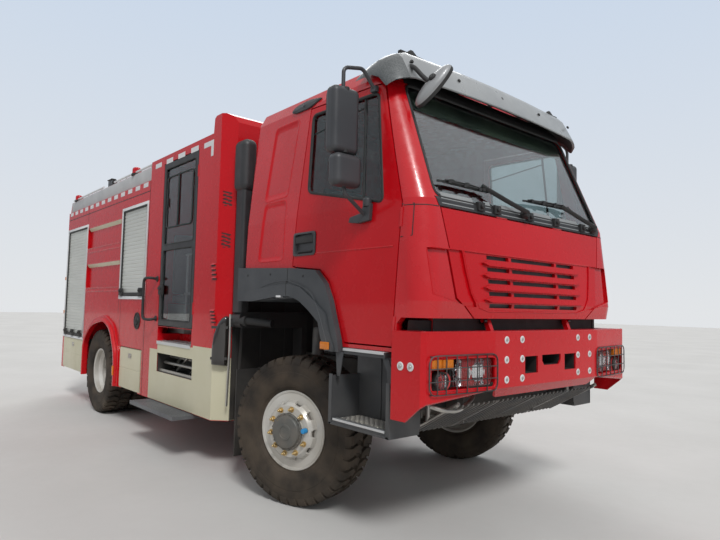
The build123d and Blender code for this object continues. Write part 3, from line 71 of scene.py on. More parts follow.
def noise(tree, where, scale, detail=3.0, stretch=None):
    """Noise over object coordinates, optionally stretched."""
    if stretch:
        where = node(tree, "ShaderNodeMapping", (("Vector", where), ("Scale", stretch))).outputs[0]
    return node(tree, "ShaderNodeTexNoise", (("Vector", where), ("Scale", scale),
        ("Detail", detail))).outputs["Fac"]


def ranged(tree, value, low, high, to_low=0.0, to_high=1.0):
    """Value mapped from one range to another, clamped."""
    return node(tree, "ShaderNodeMapRange", (("Value", value), ("From Min", low), ("From Max", high),
        ("To Min", to_low), ("To Max", to_high))).outputs[0]


def product(tree, one, two, operation="MULTIPLY"):
    """Two values combined."""
    return node(tree, "ShaderNodeMath", ((0, one), (1, two)), operation=operation).outputs[0]


def blend_colour(tree, share, one, two):
    """Mix of two colours by a share."""
    return node(tree, "ShaderNodeMix", ((0, share), (6, one), (7, two)), data_type="RGBA").outputs[2]


def rgba(colour):
    """Colour with full alpha."""
    return (*colour, 1.0)


DUST = (0.30, 0.25, 0.19)
COAT_ROUGH = 0.04


def shader_of(name):
    """New node material with its tree, its shader and object coordinates."""
    material = bpy.data.materials.new(name)
    material.use_nodes = True
    tree = material.node_tree
    return material, tree, tree.nodes["Principled BSDF"], node(tree, "ShaderNodeTexCoord").outputs["Object"]


def surface(name, colour, rough, metal=0.0, coat=0.0, tone=None, tone_scale=2.0, grain=(300.0, 0.02),
        stretch=None, dirt=0.0, dirt_top=1.3, rough_spread=0.08, sheen=0.0, specular=0.5):
    """Opaque material with a drifting tone, fine grain and dust towards the ground."""
    material, tree, shader, where = shader_of(name)
    tone = tone or tuple(min(1.0, c * 1.25 + 0.004) for c in colour)
    drift = noise(tree, where, tone_scale, 4.0, stretch)
    mixed = blend_colour(tree, ranged(tree, drift, 0.35, 0.7), rgba(colour), rgba(tone))
    fine = noise(tree, where, grain[0], 3.0, stretch)
    if dirt:
        height = node(tree, "ShaderNodeSeparateXYZ", (("Vector", where),)).outputs["Z"]
        low = ranged(tree, height, dirt_top, 0.25)
        patchy = ranged(tree, noise(tree, where, 5.0, 6.0), 0.3, 0.75, 0.25, 1.0)
        share = product(tree, product(tree, low, patchy), dirt)
        mixed = blend_colour(tree, share, mixed, rgba(DUST))
    spread = ranged(tree, noise(tree, where, 9.0, 5.0, stretch), 0.3, 0.7, max(0.02, rough - rough_spread),
        min(1.0, rough + rough_spread))
    bump = node(tree, "ShaderNodeBump", (("Height", fine), ("Strength", grain[1]), ("Distance", 0.002)))
    feed(tree, shader, (("Base Color", mixed), ("Roughness", spread), ("Metallic", metal),
        ("Coat Weight", coat), ("Coat Roughness", COAT_ROUGH), ("Sheen Weight", sheen),
        ("Specular IOR Level", specular), ("Normal", bump.outputs[0])))
    return material


def clear(name, colour, rough=0.0, see_through=1.0, ribs=0.0, ior=1.45):
    """Glass or a lamp lens; ribs is the pitch of its moulded flutes."""
    material, tree, shader, where = shader_of(name)
    haze = ranged(tree, noise(tree, where, 4.0, 4.0), 0.3, 0.8)
    deep = tuple(c * 0.86 for c in colour)
    feed(tree, shader, (("Base Color", blend_colour(tree, haze, rgba(colour), rgba(deep))),
        ("Roughness", rough), ("Transmission Weight", see_through), ("IOR", ior)))
    if ribs:
        waves = node(tree, "ShaderNodeTexWave", (("Vector", where), ("Scale", 0.314 / ribs)),
            bands_direction="Y")
        bump = node(tree, "ShaderNodeBump", (("Height", waves.outputs["Fac"]), ("Strength", 0.6),
            ("Distance", 0.004)))
        feed(tree, shader, (("Normal", bump.outputs[0]),))
    return material


RED = surface("red_gloss", (0.47, 0.002, 0.006), 0.26, 0.0, 0.30, tone=(0.54, 0.004, 0.010),
    tone_scale=0.8, grain=(14.0, 0.010), dirt=0.06, dirt_top=1.2, rough_spread=0.05, specular=0.18)
RED_SATIN = surface("red_satin", (0.50, 0.010, 0.012), 0.34, 0.0, 0.4, tone=(0.58, 0.02, 0.018),
    tone_scale=1.4, grain=(30.0, 0.03), dirt=0.22, dirt_top=1.3)
CREAM = surface("cream_primer", (0.52, 0.49, 0.335), 0.42, 0.0, 0.10, tone=(0.58, 0.55, 0.40),
    tone_scale=1.1, grain=(60.0, 0.03), dirt=0.22, dirt_top=0.9)
WHITE = surface("white_film", (0.62, 0.63, 0.64), 0.38, 0.0, 0.2, tone=(0.70, 0.70, 0.70),
    dirt=0.1)
# darker copy of the white film: painted shade for the parapet
WHITE_PAINTED_SHADE = surface("parapet_white", (0.38, 0.385, 0.39), 0.42, 0.0, 0.1, tone=(0.46, 0.46, 0.46),
    tone_scale=4.0, dirt=0.1)
VISOR = surface("visor_silver", (0.30, 0.31, 0.315), 0.34, 0.45, 0.2, tone=(0.35, 0.36, 0.36),
    tone_scale=3.0, grain=(900.0, 0.05))
VISOR_DARK = surface("visor_speckled", (0.045, 0.050, 0.053), 0.36, 0.3, 0.3,
    tone=(0.16, 0.17, 0.17), tone_scale=160.0, grain=(700.0, 0.12))
BLACK = surface("black_moulding", (0.018, 0.019, 0.021), 0.48, grain=(700.0, 0.12),
    tone=(0.032, 0.032, 0.034), dirt=0.25, dirt_top=1.6)
RUBBER = surface("black_rubber", (0.014, 0.014, 0.015), 0.62, grain=(400.0, 0.08),
    tone=(0.026, 0.025, 0.024), dirt=0.2)
GREY_PLASTIC = surface("mirror_moulding", (0.035, 0.036, 0.040), 0.40, grain=(900.0, 0.10),
    tone=(0.050, 0.051, 0.055))
DASH = surface("dash_moulding", (0.075, 0.078, 0.082), 0.60, grain=(500.0, 0.2),
    tone=(0.10, 0.10, 0.105))
TRIM_GREY = surface("cab_lining", (0.26, 0.27, 0.26), 0.75, grain=(350.0, 0.15),
    tone=(0.31, 0.31, 0.30))
CHASSIS = surface("chassis_black", (0.022, 0.022, 0.023), 0.5, grain=(90.0, 0.15),
    tone=(0.05, 0.045, 0.04), tone_scale=6.0, dirt=0.55, dirt_top=1.2)
ENGINE = surface("engine_grey", (0.09, 0.095, 0.10), 0.5, 0.3, grain=(60.0, 0.3),
    tone=(0.14, 0.13, 0.12), tone_scale=8.0, dirt=0.4)
ALU = surface("alu_mill", (0.62, 0.63, 0.63), 0.34, 0.85, grain=(120.0, 0.05),
    tone=(0.74, 0.75, 0.75), stretch=(0.1, 1.0, 1.0), dirt=0.15, dirt_top=1.0)
SLAT = surface("slat_silver", (0.561, 0.573, 0.537), 0.40, 0.35, grain=(90.0, 0.04),
    tone=(0.647, 0.659, 0.622), stretch=(0.2, 1.0, 1.0), dirt=0.1)
STEEL = surface("zinc_steel", (0.42, 0.41, 0.39), 0.38, 0.8, grain=(80.0, 0.15),
    tone=(0.55, 0.53, 0.48), tone_scale=9.0, dirt=0.35, dirt_top=1.5)
SLATE = surface("slate_moulding", (0.036, 0.040, 0.045), 0.46, grain=(800.0, 0.14),
    tone=(0.056, 0.060, 0.065), tone_scale=3.0, dirt=0.2, dirt_top=1.5)
PALE = surface("pale_grey_coat", (0.36, 0.37, 0.37), 0.35, 0.2, 0.3, tone=(0.43, 0.44, 0.44),
    grain=(500.0, 0.04))
GUARD = surface("guard_wire", (0.05, 0.045, 0.045), 0.35, 0.6, grain=(300.0, 0.05),
    tone=(0.12, 0.11, 0.11))
BRASS = surface("nut_yellow_zinc", (0.50, 0.34, 0.13), 0.36, 0.85, grain=(300.0, 0.1),
    tone=(0.62, 0.50, 0.30), tone_scale=30.0)
BLUE = surface("blue_cap", (0.02, 0.22, 0.48), 0.4, grain=(300.0, 0.05))
RIM = surface("rim_paint", (0.50, 0.48, 0.43), 0.36, 0.25, 0.3, tone=(0.60, 0.59, 0.56),
    tone_scale=3.0, grain=(60.0, 0.06), dirt=0.45, dirt_top=1.1)
HUB = surface("hub_grey", (0.10, 0.105, 0.10), 0.5, 0.4, grain=(120.0, 0.25),
    tone=(0.15, 0.14, 0.125), tone_scale=10.0, dirt=0.3)
TYRE = surface("tyre_rubber", (0.017, 0.014, 0.012), 0.78, grain=(160.0, 0.2),
    tone=(0.046, 0.033, 0.023), tone_scale=5.0, dirt=0.14, dirt_top=1.5, specular=0.25)
FABRIC = surface("seat_weave", (0.10, 0.105, 0.11), 0.9, grain=(1500.0, 0.6),
    tone=(0.15, 0.15, 0.155), tone_scale=60.0, sheen=0.4)
GLASS = clear("window_glass", (0.50, 0.62, 0.60))
DARK_GLASS = clear("crew_window_glass", (0.80, 0.86, 0.86), 0.01)
DUCT = surface("duct_gloss", (0.012, 0.011, 0.010), 0.12, 0.0, 0.8,
    tone=(0.020, 0.017, 0.015), grain=(40.0, 0.05))
COWL = surface("cowl_grey", (0.20, 0.21, 0.215), 0.45, 0.0, 0.2, tone=(0.27, 0.28, 0.28),
    grain=(30.0, 0.08))
MIRROR_BACK = surface("mirror_back_grey", (0.22, 0.225, 0.23), 0.4, 0.2, 0.2,
    tone=(0.30, 0.305, 0.31), grain=(40.0, 0.08))
SCREEN_GLASS = clear("screen_glass", (0.80, 0.90, 0.92), 0.0, 1.0, 0.0, 1.85)
OLIVE = surface("shade_olive", (0.055, 0.065, 0.045), 0.5, tone=(0.14, 0.16, 0.10),
    grain=(9.0, 0.1))
STEP_GREY = surface("step_grey", (0.125, 0.128, 0.135), 0.5, 0.4, tone=(0.17, 0.175, 0.18),
    grain=(50.0, 0.1))
CHROME = surface("reflector_chrome", (0.82, 0.84, 0.86), 0.20, 0.85, grain=(60.0, 0.05),
    tone=(0.88, 0.89, 0.90))
LENS = clear("lamp_clear", (0.90, 0.92, 0.93), 0.02, 1.0, 0.018)
AMBER = clear("lamp_amber", (0.95, 0.28, 0.02), 0.10, 0.35, 0.012)
RED_LENS = clear("lamp_red", (0.62, 0.01, 0.02), 0.08, 0.30, 0.02)
MIRROR = surface("mirror_silver", (0.86, 0.87, 0.88), 0.04, 1.0, grain=(5.0, 0.0), rough_spread=0.02)
YELLOW = surface("yellow_grip", (0.72, 0.52, 0.02), 0.45, grain=(300.0, 0.05))

# Solids by material; a star stands for right and left
NODE_MATERIALS = ((RED, "crew_cabin equipment_body front_flap bumper cab_door_*"),
    (SCREEN_GLASS, "windscreen"), (GLASS, "door_glass_*"), (DARK_GLASS, "crew_glass_*"),
    (SLATE, "flares cab_steps"),
    (CHASSIS, "driveline skid_guard frame front_axle rear_axle rear_bar knuckle_*"), (ALU, "ladder"),
    (PALE, "front_mirror"), (VISOR, "visor"), (RED_SATIN, "lamps"), (ENGINE, "engine"), (RUBBER, "mudflaps"),
    (FABRIC, "crew_seats"), (DASH, "seats dashboard steering_wheel"), (SLAT, "shutters"),
    (WHITE, "roof_lights"), (RED_LENS, "cab_beacon"), (GREY_PLASTIC, "mirrors_*"), (STEP_GREY, "crew_step_*"),
    (CREAM, "locker_flap_front_* locker_flap_rear_*"), (RIM, "wheel_front_* wheel_rear_*"),
    (TYRE, "tyre_front_* tyre_rear_*"))
# Space behind the slot between flap and bumper, where the cab shell's red gets painted shade: ahead of x,
# below z, half its width
SLOT_SPACE = (FRONT_AXLE + 1.385, 1.452, 0.60)


def red_with_painted_shade(shown):
    """Red paint with painted shade, black behind the slot between flap and bumper."""
    material = surface("red_gloss_painted_shade", (0.47, 0.002, 0.006), 0.26, 0.0, 0.30,
        tone=(0.54, 0.004, 0.010))
    tree = material.node_tree
    shader = tree.nodes["Principled BSDF"]
    painted = shader.inputs["Base Color"].links[0].from_socket
    where = node(tree, "ShaderNodeTexCoord").outputs["Object"]
    spot = node(tree, "ShaderNodeSeparateXYZ", (("Vector", where),))
    away = shown.matrix_world.translation
    share = None
    for axis, how, limit in (("X", "GREATER_THAN", SLOT_SPACE[0] - away.x),
            ("Z", "LESS_THAN", SLOT_SPACE[1] - away.z), ("Y", "LESS_THAN", SLOT_SPACE[2]),
            ("Y", "GREATER_THAN", -SLOT_SPACE[2])):
        test = product(tree, spot.outputs[axis], limit, how)
        share = product(tree, share, test) if share else test
    # painted shade: the red turns black inside the space behind the slot
    feed(tree, shader, (("Base Color", blend_colour(tree, share, painted, rgba((0.006, 0.006, 0.006)))),))
    return material


finishes = {name.replace("*", side): material for material, names in NODE_MATERIALS for name in names.split()
    for side in ("right", "left")}
for name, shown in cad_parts.items():
    # the cab shell gets red with painted shade behind the flap slot
    finish = red_with_painted_shade(shown) if name == "cab_shell" else finishes.get(name, BLACK)
    if not shown.data.materials:
        shown.data.materials.append(finish)
    for slot_index in range(len(shown.data.materials)):
        shown.data.materials[slot_index] = finish

# Mesh making

def arc(before, corner, after, radius, share, steps):
    """Arc in place of a corner, which takes at most a share of each leg."""
    back, on = before - corner, after - corner
    reach = min(radius, back.length * share, on.length * share)
    start, end = corner + back.normalized() * reach, corner + on.normalized() * reach
    return [start * (1 - t) ** 2 + corner * 2 * t * (1 - t) + end * t * t
        for t in (step / steps for step in range(steps + 1))]


def rounded(points, radius, steps=4):
    """Path with its inner corners turned into arcs."""
    points = [Vector(p) for p in points]
    path = [points[0]]
    for before, corner, after in zip(points, points[1:], points[2:]):
        path += arc(before, corner, after, radius, 0.45, steps)
    return path + [points[-1]]


def ring_path(points, radius, steps=4):
    """Closed outline with its corners turned into arcs, as a list of points."""
    points = [Vector(p).to_3d() for p in points]
    path = []
    for before, corner, after in zip(points[-1:] + points, points, points[1:] + points[:1]):
        path += arc(before, corner, after, radius, 0.48, steps)
    return path


def oblong(a0, a1, b0, b1, radius, steps=4):
    """Outline of a plate with round corners, in a plane."""
    return ring_path([(a0, b0), (a1, b0), (a1, b1), (a0, b1)], radius, steps)


def round_plate(x0, x1, z0, z1, y, radius, steps=4):
    """Outline of a plate with round corners that faces sideways."""
    return [Vector((p.x, y, p.y)) for p in oblong(x0, x1, z0, z1, radius, steps)]


def circle(radius, steps, height=0.0, start=0.0):
    """Points round Z, the first one a share of a step on."""
    turns = [math.tau * (i + start) / steps for i in range(steps)]
    return [Vector((radius * math.cos(t), radius * math.sin(t), height)) for t in turns]


class Form:
    """A mesh being put together in stations, or about a placement in them."""

    def __init__(self, place=None):
        self.bm = bmesh.new()
        self.place = place

    def add(self, points, faces):
        """Points and the faces between them, taken from stations to the truck's frame."""
        if self.place:
            points = [self.place @ Vector(p) for p in points]
        verts = [self.bm.verts.new((FRONT_AXLE + p[0], p[1], p[2])) for p in points]
        for face in faces:
            self.bm.faces.new([verts[i] for i in face])
        return self

    def box(self, x, y, z, place=None):
        """Box between two x, two y and two z."""
        points = [(a, b, c) for a in x for b in y for c in z]
        return self.add([place @ Vector(p) for p in points] if place else points, ((0, 1, 3, 2), (4, 6, 7, 5),
            (0, 4, 5, 1), (2, 3, 7, 6), (0, 2, 6, 4), (1, 5, 7, 3)))

    def side_box(self, x0, x1, z0, z1, out=0.003, deep=0.004):
        """Plate on the right side of the body, standing out and let in by so much."""
        return self.box((x0, x1), (-SIDE_Y - out, -SIDE_Y + deep), (z0, z1))

    def rows(self, rows, closed=False, caps=False):
        """Surface through rows of points; closed joins each row's ends."""
        width = len(rows[0])
        points = [p for row in rows for p in row]
        faces = []
        for r in range(len(rows) - 1):
            for c in range(width if closed else width - 1):
                d = (c + 1) % width
                faces.append((r * width + c, r * width + d, (r + 1) * width + d, (r + 1) * width + c))
        if caps:
            faces.append(tuple(reversed(range(width))))
            faces.append(tuple((len(rows) - 1) * width + c for c in range(width)))
        return self.add(points, faces)

    def wrapped(self, rows, closed):
        """Rings of points joined into a loop, or capped at both ends."""
        if closed:
            return self.rows(rows + rows[:1], True)
        return self.rows(rows, True, True)

    def prism(self, outline, axis, start, end):
        """Outline drawn out along X or Y. Outline pairs are the other two axes in order."""
        return self.rows([[(along, a, b) if axis == "X" else (a, along, b) for a, b in outline]
            for along in (start, end)], True, True)

    def turned(self, profile, place=None, steps=32, closed=False):
        """Radius and height pairs turned about Z, then placed."""
        place = place or Matrix.Identity(4)
        return self.wrapped([[place @ p for p in circle(radius, steps, height)]
            for radius, height in profile], closed)

    def tube(self, points, radius, sides=8, closed=False, flat=1.0):
        """Round or flattened bar along a path."""
        points = [Vector(p) for p in points]
        count = len(points)
        rows = []
        side = None
        for index, point in enumerate(points):
            ahead = points[(index + 1) % count] if closed or index < count - 1 else point
            behind = points[index - 1] if closed or index else point
            along = (ahead - behind).normalized()
            if side is None:
                side = along.cross(Vector((0, 0, 1)) if abs(along.z) < 0.9 else Vector((1, 0, 0)))
            side = (side - along * side.dot(along)).normalized()
            other = along.cross(side)
            rows.append([point + radius * (math.cos(math.tau * i / sides) * side * flat
                + math.sin(math.tau * i / sides) * other) for i in range(sides)])
        return self.wrapped(rows, closed)

    def finish(self, name, body, material, bevel=0.0, segments=2, angle=32.0, twin=True, replaces=(),
            slot=None, smooth=True):
        """Turn the form into a piece on its body; one whose name ends with right gets a left-hand twin."""
        bm = self.bm
        bmesh.ops.remove_doubles(bm, verts=bm.verts, dist=1e-5)
        bmesh.ops.recalc_face_normals(bm, faces=bm.faces)
        if bevel:
            sharp = [e for e in bm.edges
                if len(e.link_faces) == 2 and e.calc_face_angle(0) > math.radians(angle)]
            bmesh.ops.bevel(bm, geom=sharp, offset=bevel, segments=segments, affect="EDGES", profile=0.6,
                clamp_overlap=True)
        made = []
        for word in ("_right", "_left") if twin and name.endswith("_right") else ("_right",):
            mesh = bpy.data.meshes.new(name)
            bm.to_mesh(mesh)
            title, carrier, *gone = (n.replace("_right", word) for n in (name, body, *replaces))
            if word == "_left":
                mesh.transform(MIRRORED)
                mesh.flip_normals()
            if smooth:
                mesh.shade_smooth()
                mesh.set_sharp_from_angle(angle=math.radians(angle))
            mesh.materials.append(material)
            piece = bpy.data.objects.new(title, mesh)
            bpy.context.scene.collection.objects.link(piece)
            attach(piece, carrier)
            if gone:
                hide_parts(*gone)
            made.append(piece)
        bm.free()
        return made


def placed(spot, degrees, axis):
    """Placement at a spot, turned about one axis."""
    return Matrix.Translation(spot) @ Matrix.Rotation(math.radians(degrees), 4, axis)


def toward(start, end):
    """Placement with local Z running from start to end."""
    start, end = Vector(start), Vector(end)
    turn = (end - start).to_track_quat("Z", "Y").to_matrix().to_4x4()
    return Matrix.Translation(start) @ turn


def out_y(x, y, z):
    """Placement with local Z pointing out to the truck's right."""
    return placed((x, y, z), 90, "X")


def out_x(x, y, z):
    """Placement with local Z pointing forward."""
    return placed((x, y, z), 90, "Y")


# Cab skin

CAB_SECTIONS = ((1.238, 1.450, 1.180), (1.560, 1.505, 1.185), (1.895, 1.470, 1.185), (2.200, 1.437, 1.180),
    (3.085, 1.075, 1.120), (3.180, 0.985, 1.085), (3.225, 0.900, 0.980))


def cab_at(z):
    """Front station and half width of the cab's skin at a height."""
    z = min(max(z, CAB_SECTIONS[0][0]), CAB_SECTIONS[-1][0])
    for low, high in zip(CAB_SECTIONS, CAB_SECTIONS[1:]):
        if z <= high[0]:
            t = (z - low[0]) / (high[0] - low[0])
            return low[1] + t * (high[1] - low[1]), low[2] + t * (high[2] - low[2])


CORNER = 0.15


def corner(over):
    """How far the skin falls back at its round corner, for a place so far past the other face."""
    over += CORNER
    return 0.0 if over <= 0 else math.sqrt(max(0.0, CORNER ** 2 - over ** 2)) - CORNER


def on_front(y, z, lift=0.0):
    """Point of the cab's front skin."""
    front, half = cab_at(z)
    return Vector((front + corner(abs(y) - half) + lift, y, z))


def on_side(x, z, lift=0.0):
    """Point of the cab's right skin."""
    front, half = cab_at(z)
    return Vector((x, -half - corner(x - front) - lift, z))


def dense(points, step=0.05, closed=True):
    """Outline with points every step, so that it can follow a curved skin."""
    points = [Vector(p).to_3d() for p in points]
    path = []
    ends = points[1:] + points[:1] if closed else points[1:]
    for start, end in zip(points, ends):
        count = max(1, int((end - start).length / step))
        path += [start.lerp(end, i / count) for i in range(count)]
    return path if closed else path + [points[-1]]


# Camera, floor and lights

def set_camera():
    """Camera at the photograph's viewpoint."""
    yaw, pitch, roll = (math.radians(v) for v in (139.47, 3.70, 1.296))
    forward = Vector((math.cos(pitch) * math.cos(yaw), math.cos(pitch) * math.sin(yaw), math.sin(pitch)))
    right = Vector((math.sin(yaw), -math.cos(yaw), 0))
    up = right.cross(forward)
    across = math.cos(roll) * right + math.sin(roll) * up
    over = math.cos(roll) * up - math.sin(roll) * right
    turn = Matrix((across, over, -forward)).transposed()
    data = bpy.data.cameras.new("camera")
    data.sensor_width = 36.0
    data.lens = 28.447
    camera = bpy.data.objects.new("camera", data)
    camera.matrix_world = Matrix.Translation((6.276, -3.658, 1.515)) @ turn.to_4x4()
    bpy.context.scene.collection.objects.link(camera)
    bpy.context.scene.camera = camera
    bpy.context.scene.view_settings.view_transform = "Standard"


def set_stage():
    """Pale floor and backdrop."""
    mesh = bpy.data.meshes.new("floor")
    reach = 70.0
    mesh.from_pydata([(-reach, -reach, 0), (reach, -reach, 0), (reach, reach, 0), (-reach, reach, 0)], [],
        [(0, 1, 2, 3)])
    floor = bpy.data.objects.new("floor", mesh)
    bpy.context.scene.collection.objects.link(floor)
    mesh.materials.append(surface("floor_concrete", (0.55, 0.54, 0.52), 0.7, tone=(0.60, 0.59, 0.57),
        tone_scale=0.6, grain=(60.0, 0.1)))
    world = bpy.data.worlds.new("world")
    world.use_nodes = True
    bpy.context.scene.world = world
    tree = world.node_tree
    tree.nodes.clear()
    rays = node(tree, "ShaderNodeLightPath").outputs
    seen = product(tree, product(tree, rays["Is Camera Ray"], rays["Is Glossy Ray"], "MAXIMUM"),
        rays["Is Transmission Ray"], "MAXIMUM")
    where = node(tree, "ShaderNodeTexCoord").outputs["Generated"]
    height = node(tree, "ShaderNodeSeparateXYZ", (("Vector", where),)).outputs["Z"]
    sky = blend_colour(tree, ranged(tree, height, 0.0, 0.5), (0.80, 0.82, 0.84, 1), (0.62, 0.72, 0.86, 1))
    shine = node(tree, "ShaderNodeValToRGB", (("Fac", ranged(tree, height, -1.0, 1.0)),))
    stops = shine.color_ramp.elements
    greys = ((0.0, 0.20), (1.0, 0.95), (0.49, 0.22), (0.53, 0.34), (0.68, 0.60))
    made = (stops[0], stops[1], stops.new(0.49), stops.new(0.53), stops.new(0.68))
    for stop, (spot, grey) in zip(made, greys):
        stop.position = spot
        stop.color = (grey * (0.92 if stop.position > 0.6 else 1.0), grey * 1.02, grey * 1.12, 1.0)
    sky = blend_colour(tree, rays["Is Glossy Ray"], sky, shine.outputs[0])
    back = node(tree, "ShaderNodeBackground", (("Color", sky), ("Strength", 0.95)))
    soft = node(tree, "ShaderNodeBackground", (("Color", (0.95, 0.97, 1.0, 1)), ("Strength", 0.55)))
    mixed = node(tree, "ShaderNodeMixShader", ((0, seen), (1, soft.outputs[0]), (2, back.outputs[0])))
    node(tree, "ShaderNodeOutputWorld", ((0, mixed.outputs[0]),))


def set_lights():
    """A soft key from the front right and a weaker one from behind."""
    for name, direction, strength, spread in (("key", (-0.62, 0.30, -0.72), 1.9, 14.0),
            ("back", (0.60, -0.50, -0.62), 0.7, 30.0)):
        data = bpy.data.lights.new(name, "SUN")
        data.energy = strength
        data.angle = math.radians(spread)
        lamp = bpy.data.objects.new(name, data)
        lamp.rotation_euler = Vector(direction).to_track_quat("-Z", "Y").to_euler()
        bpy.context.scene.collection.objects.link(lamp)


set_camera()
set_stage()
set_lights()

# Wheels and tyres

LUGS = 38
TYRE_PROFILE = ((0.2865, 0.112), (0.300, 0.124), (0.3125, 0.128), (0.330, 0.146), (0.345, 0.152),
    (0.352, 0.1555), (0.400, 0.1600), (0.440, 0.1605), (0.444, 0.1580), (0.470, 0.1590), (0.505, 0.1555),
    (0.522, 0.1500), (0.538, 0.1380), (0.5405, 0.110), (0.5410, 0.04))
LUG_PATH = ((0.012, 0.000, 0.562, 0.541), (0.060, 0.022, 0.562, 0.541), (0.064, 0.024, 0.562, 0.541),
    (0.128, 0.000, 0.560, 0.540), (0.1475, -0.004, 0.549, 0.530), (0.1555, -0.005, 0.528, 0.510),
    (0.1590, -0.005, 0.508, 0.500))


def tyre_form(form, shift):
    """Carcass and tread lugs about local Y, centred at a shift along it."""
    turn = placed((0, shift, 0), -90, "X")
    outline = list(TYRE_PROFILE) + [(r, -h) for r, h in reversed(TYRE_PROFILE)]
    outline += [(0.2865, -0.100), (0.2865, 0.100)]
    form.turned(outline, turn, 120, closed=True)
    for side in (1, -1):
        for index in range(LUGS):
            middle = (index + (0.5 if side < 0 else 0.0)) * math.tau / LUGS
            rows = []
            for across, lead, top, foot in LUG_PATH:
                width = 0.028 if across < 0.07 else 0.033
                row = []
                for radius, reach in ((top, -width), (top, width), (foot, width + 0.003),
                        (foot, -width - 0.003)):
                    angle = middle + (lead + reach) / 0.56
                    y = side * (across if radius == top else across - 0.002)
                    row.append((radius * math.cos(angle), y + shift, radius * math.sin(angle)))
                rows.append(row)
            form.rows(rows, True, True)


# Wheels: how many nuts and hub bolts, the nuts' circle, and a turn that stands a form upright
NUTS = 10
NUT_RING = 0.1675
HUB_BOLTS = 16
UPRIGHT = Matrix.Rotation(math.radians(-90), 4, "X")


def nuts_form(form, plane, size=0.026):
    """Ring of wheel nuts with washers on a disc plane."""
    for spot in circle(NUT_RING, NUTS, plane, 0.25):
        turn = placed((spot.x, spot.z, spot.y), -90, "X")
        form.turned(((size * 0.85, 0), (size * 0.85, 0.004), (size * 0.62, 0.0045)), turn, 16)
        form.turned(((size * 0.60, 0.004), (size * 0.60, 0.022), (size * 0.48, 0.026)), turn, 6)
        form.turned(((size * 0.34, 0.02), (size * 0.34, 0.038), (size * 0.26, 0.041)), turn, 12)


def wheel_places(side):
    """Placements of a side's steered wheel and driven twin, with local Y outwards."""
    flip = MIRRORED if side < 0 else Matrix.Identity(4)
    steered = placed((0, side * 0.8, AXLE_Z), STEERED, "Z") @ Matrix.Translation((0, side * 0.248, 0)) @ flip
    return steered, Matrix.Translation((-WHEELBASE, side * 0.910, AXLE_Z)) @ flip


for side, word in ((-1, "right"), (1, "left")):
    steered, driven = wheel_places(side)
    tyre = Form(steered)
    tyre_form(tyre, 0.0)
    tyre.finish("front_tyre_" + word, "wheel_front_" + word, TYRE, angle=24, twin=False,
        replaces=("tyre_front_" + word,))
    for shift, title in ((0.175, "outer"), (-0.175, "inner")):
        tyre = Form(driven)
        tyre_form(tyre, shift)
        tyre.finish("rear_tyre_" + title + "_" + word, "wheel_rear_" + word, TYRE, angle=24, twin=False,
            replaces=("tyre_rear_" + word,))
    for place, title, plane in ((steered, "front", 0.175), (driven, "rear", 0.012)):
        nuts = Form(place)
        nuts_form(nuts, plane)
        nuts.finish(title + "_nuts_" + word, "wheel_" + title + "_" + word, BRASS, twin=False)
    cap = Form(steered @ UPRIGHT)
    cap.turned(((0.139, 0.183), (0.139, 0.196), (0.134, 0.200), (0.126, 0.2005), (0.121, 0.214),
        (0.117, 0.2195), (0.108, 0.222), (0.090, 0.2245), (0.062, 0.2255), (0.060, 0.229), (0.044, 0.2300),
        (0.042, 0.2265), (0.0, 0.2265)), None, 64)
    for spot in circle(0.1315, HUB_BOLTS, 0.198, 0.5):
        cap.turned(((0.0085, 0), (0.0085, 0.007), (0.007, 0.009)), Matrix.Translation(spot), 6)
    cap.finish("front_hub_cap_" + word, "wheel_front_" + word, HUB, twin=False)
    lip = Form(steered @ UPRIGHT)
    lip.turned(((0.2985, 0.119), (0.3005, 0.124), (0.2995, 0.1285), (0.2960, 0.1300), (0.2920, 0.1275),
        (0.2895, 0.120), (0.2880, 0.112)), None, 96)
    lip.finish("front_rim_lip_" + word, "wheel_front_" + word, RIM, twin=False)

# Equipment body

def frame_strips(form, x0, x1, z0, z1, width, out, deep=0.004):
    """Four strips round an opening on the right side."""
    form.side_box(x0 - width, x1 + width, z1, z1 + width, out, deep)
    form.side_box(x0 - width, x1 + width, z0 - width, z0, out, deep)
    form.side_box(x0 - width, x0, z0, z1, out, deep)
    form.side_box(x1, x1 + width, z0, z1, out, deep)


def slat_rows(y, x0, x1, z0, z1, pitch):
    """Rows of a slatted curtain whose slats crown outwards."""
    rows = []
    count = int(round((z1 - z0) / pitch))
    step = (z1 - z0) / count
    for index in range(count):
        z = z0 + index * step
        for rise, out in ((0.0, 0.000), (0.004, 0.0045), (step * 0.5, 0.0075), (step - 0.004, 0.0045)):
            rows.append([(x0, y - out, z + rise), (x1, y - out, z + rise)])
    rows.append([(x0, y, z1), (x1, y, z1)])
    return rows


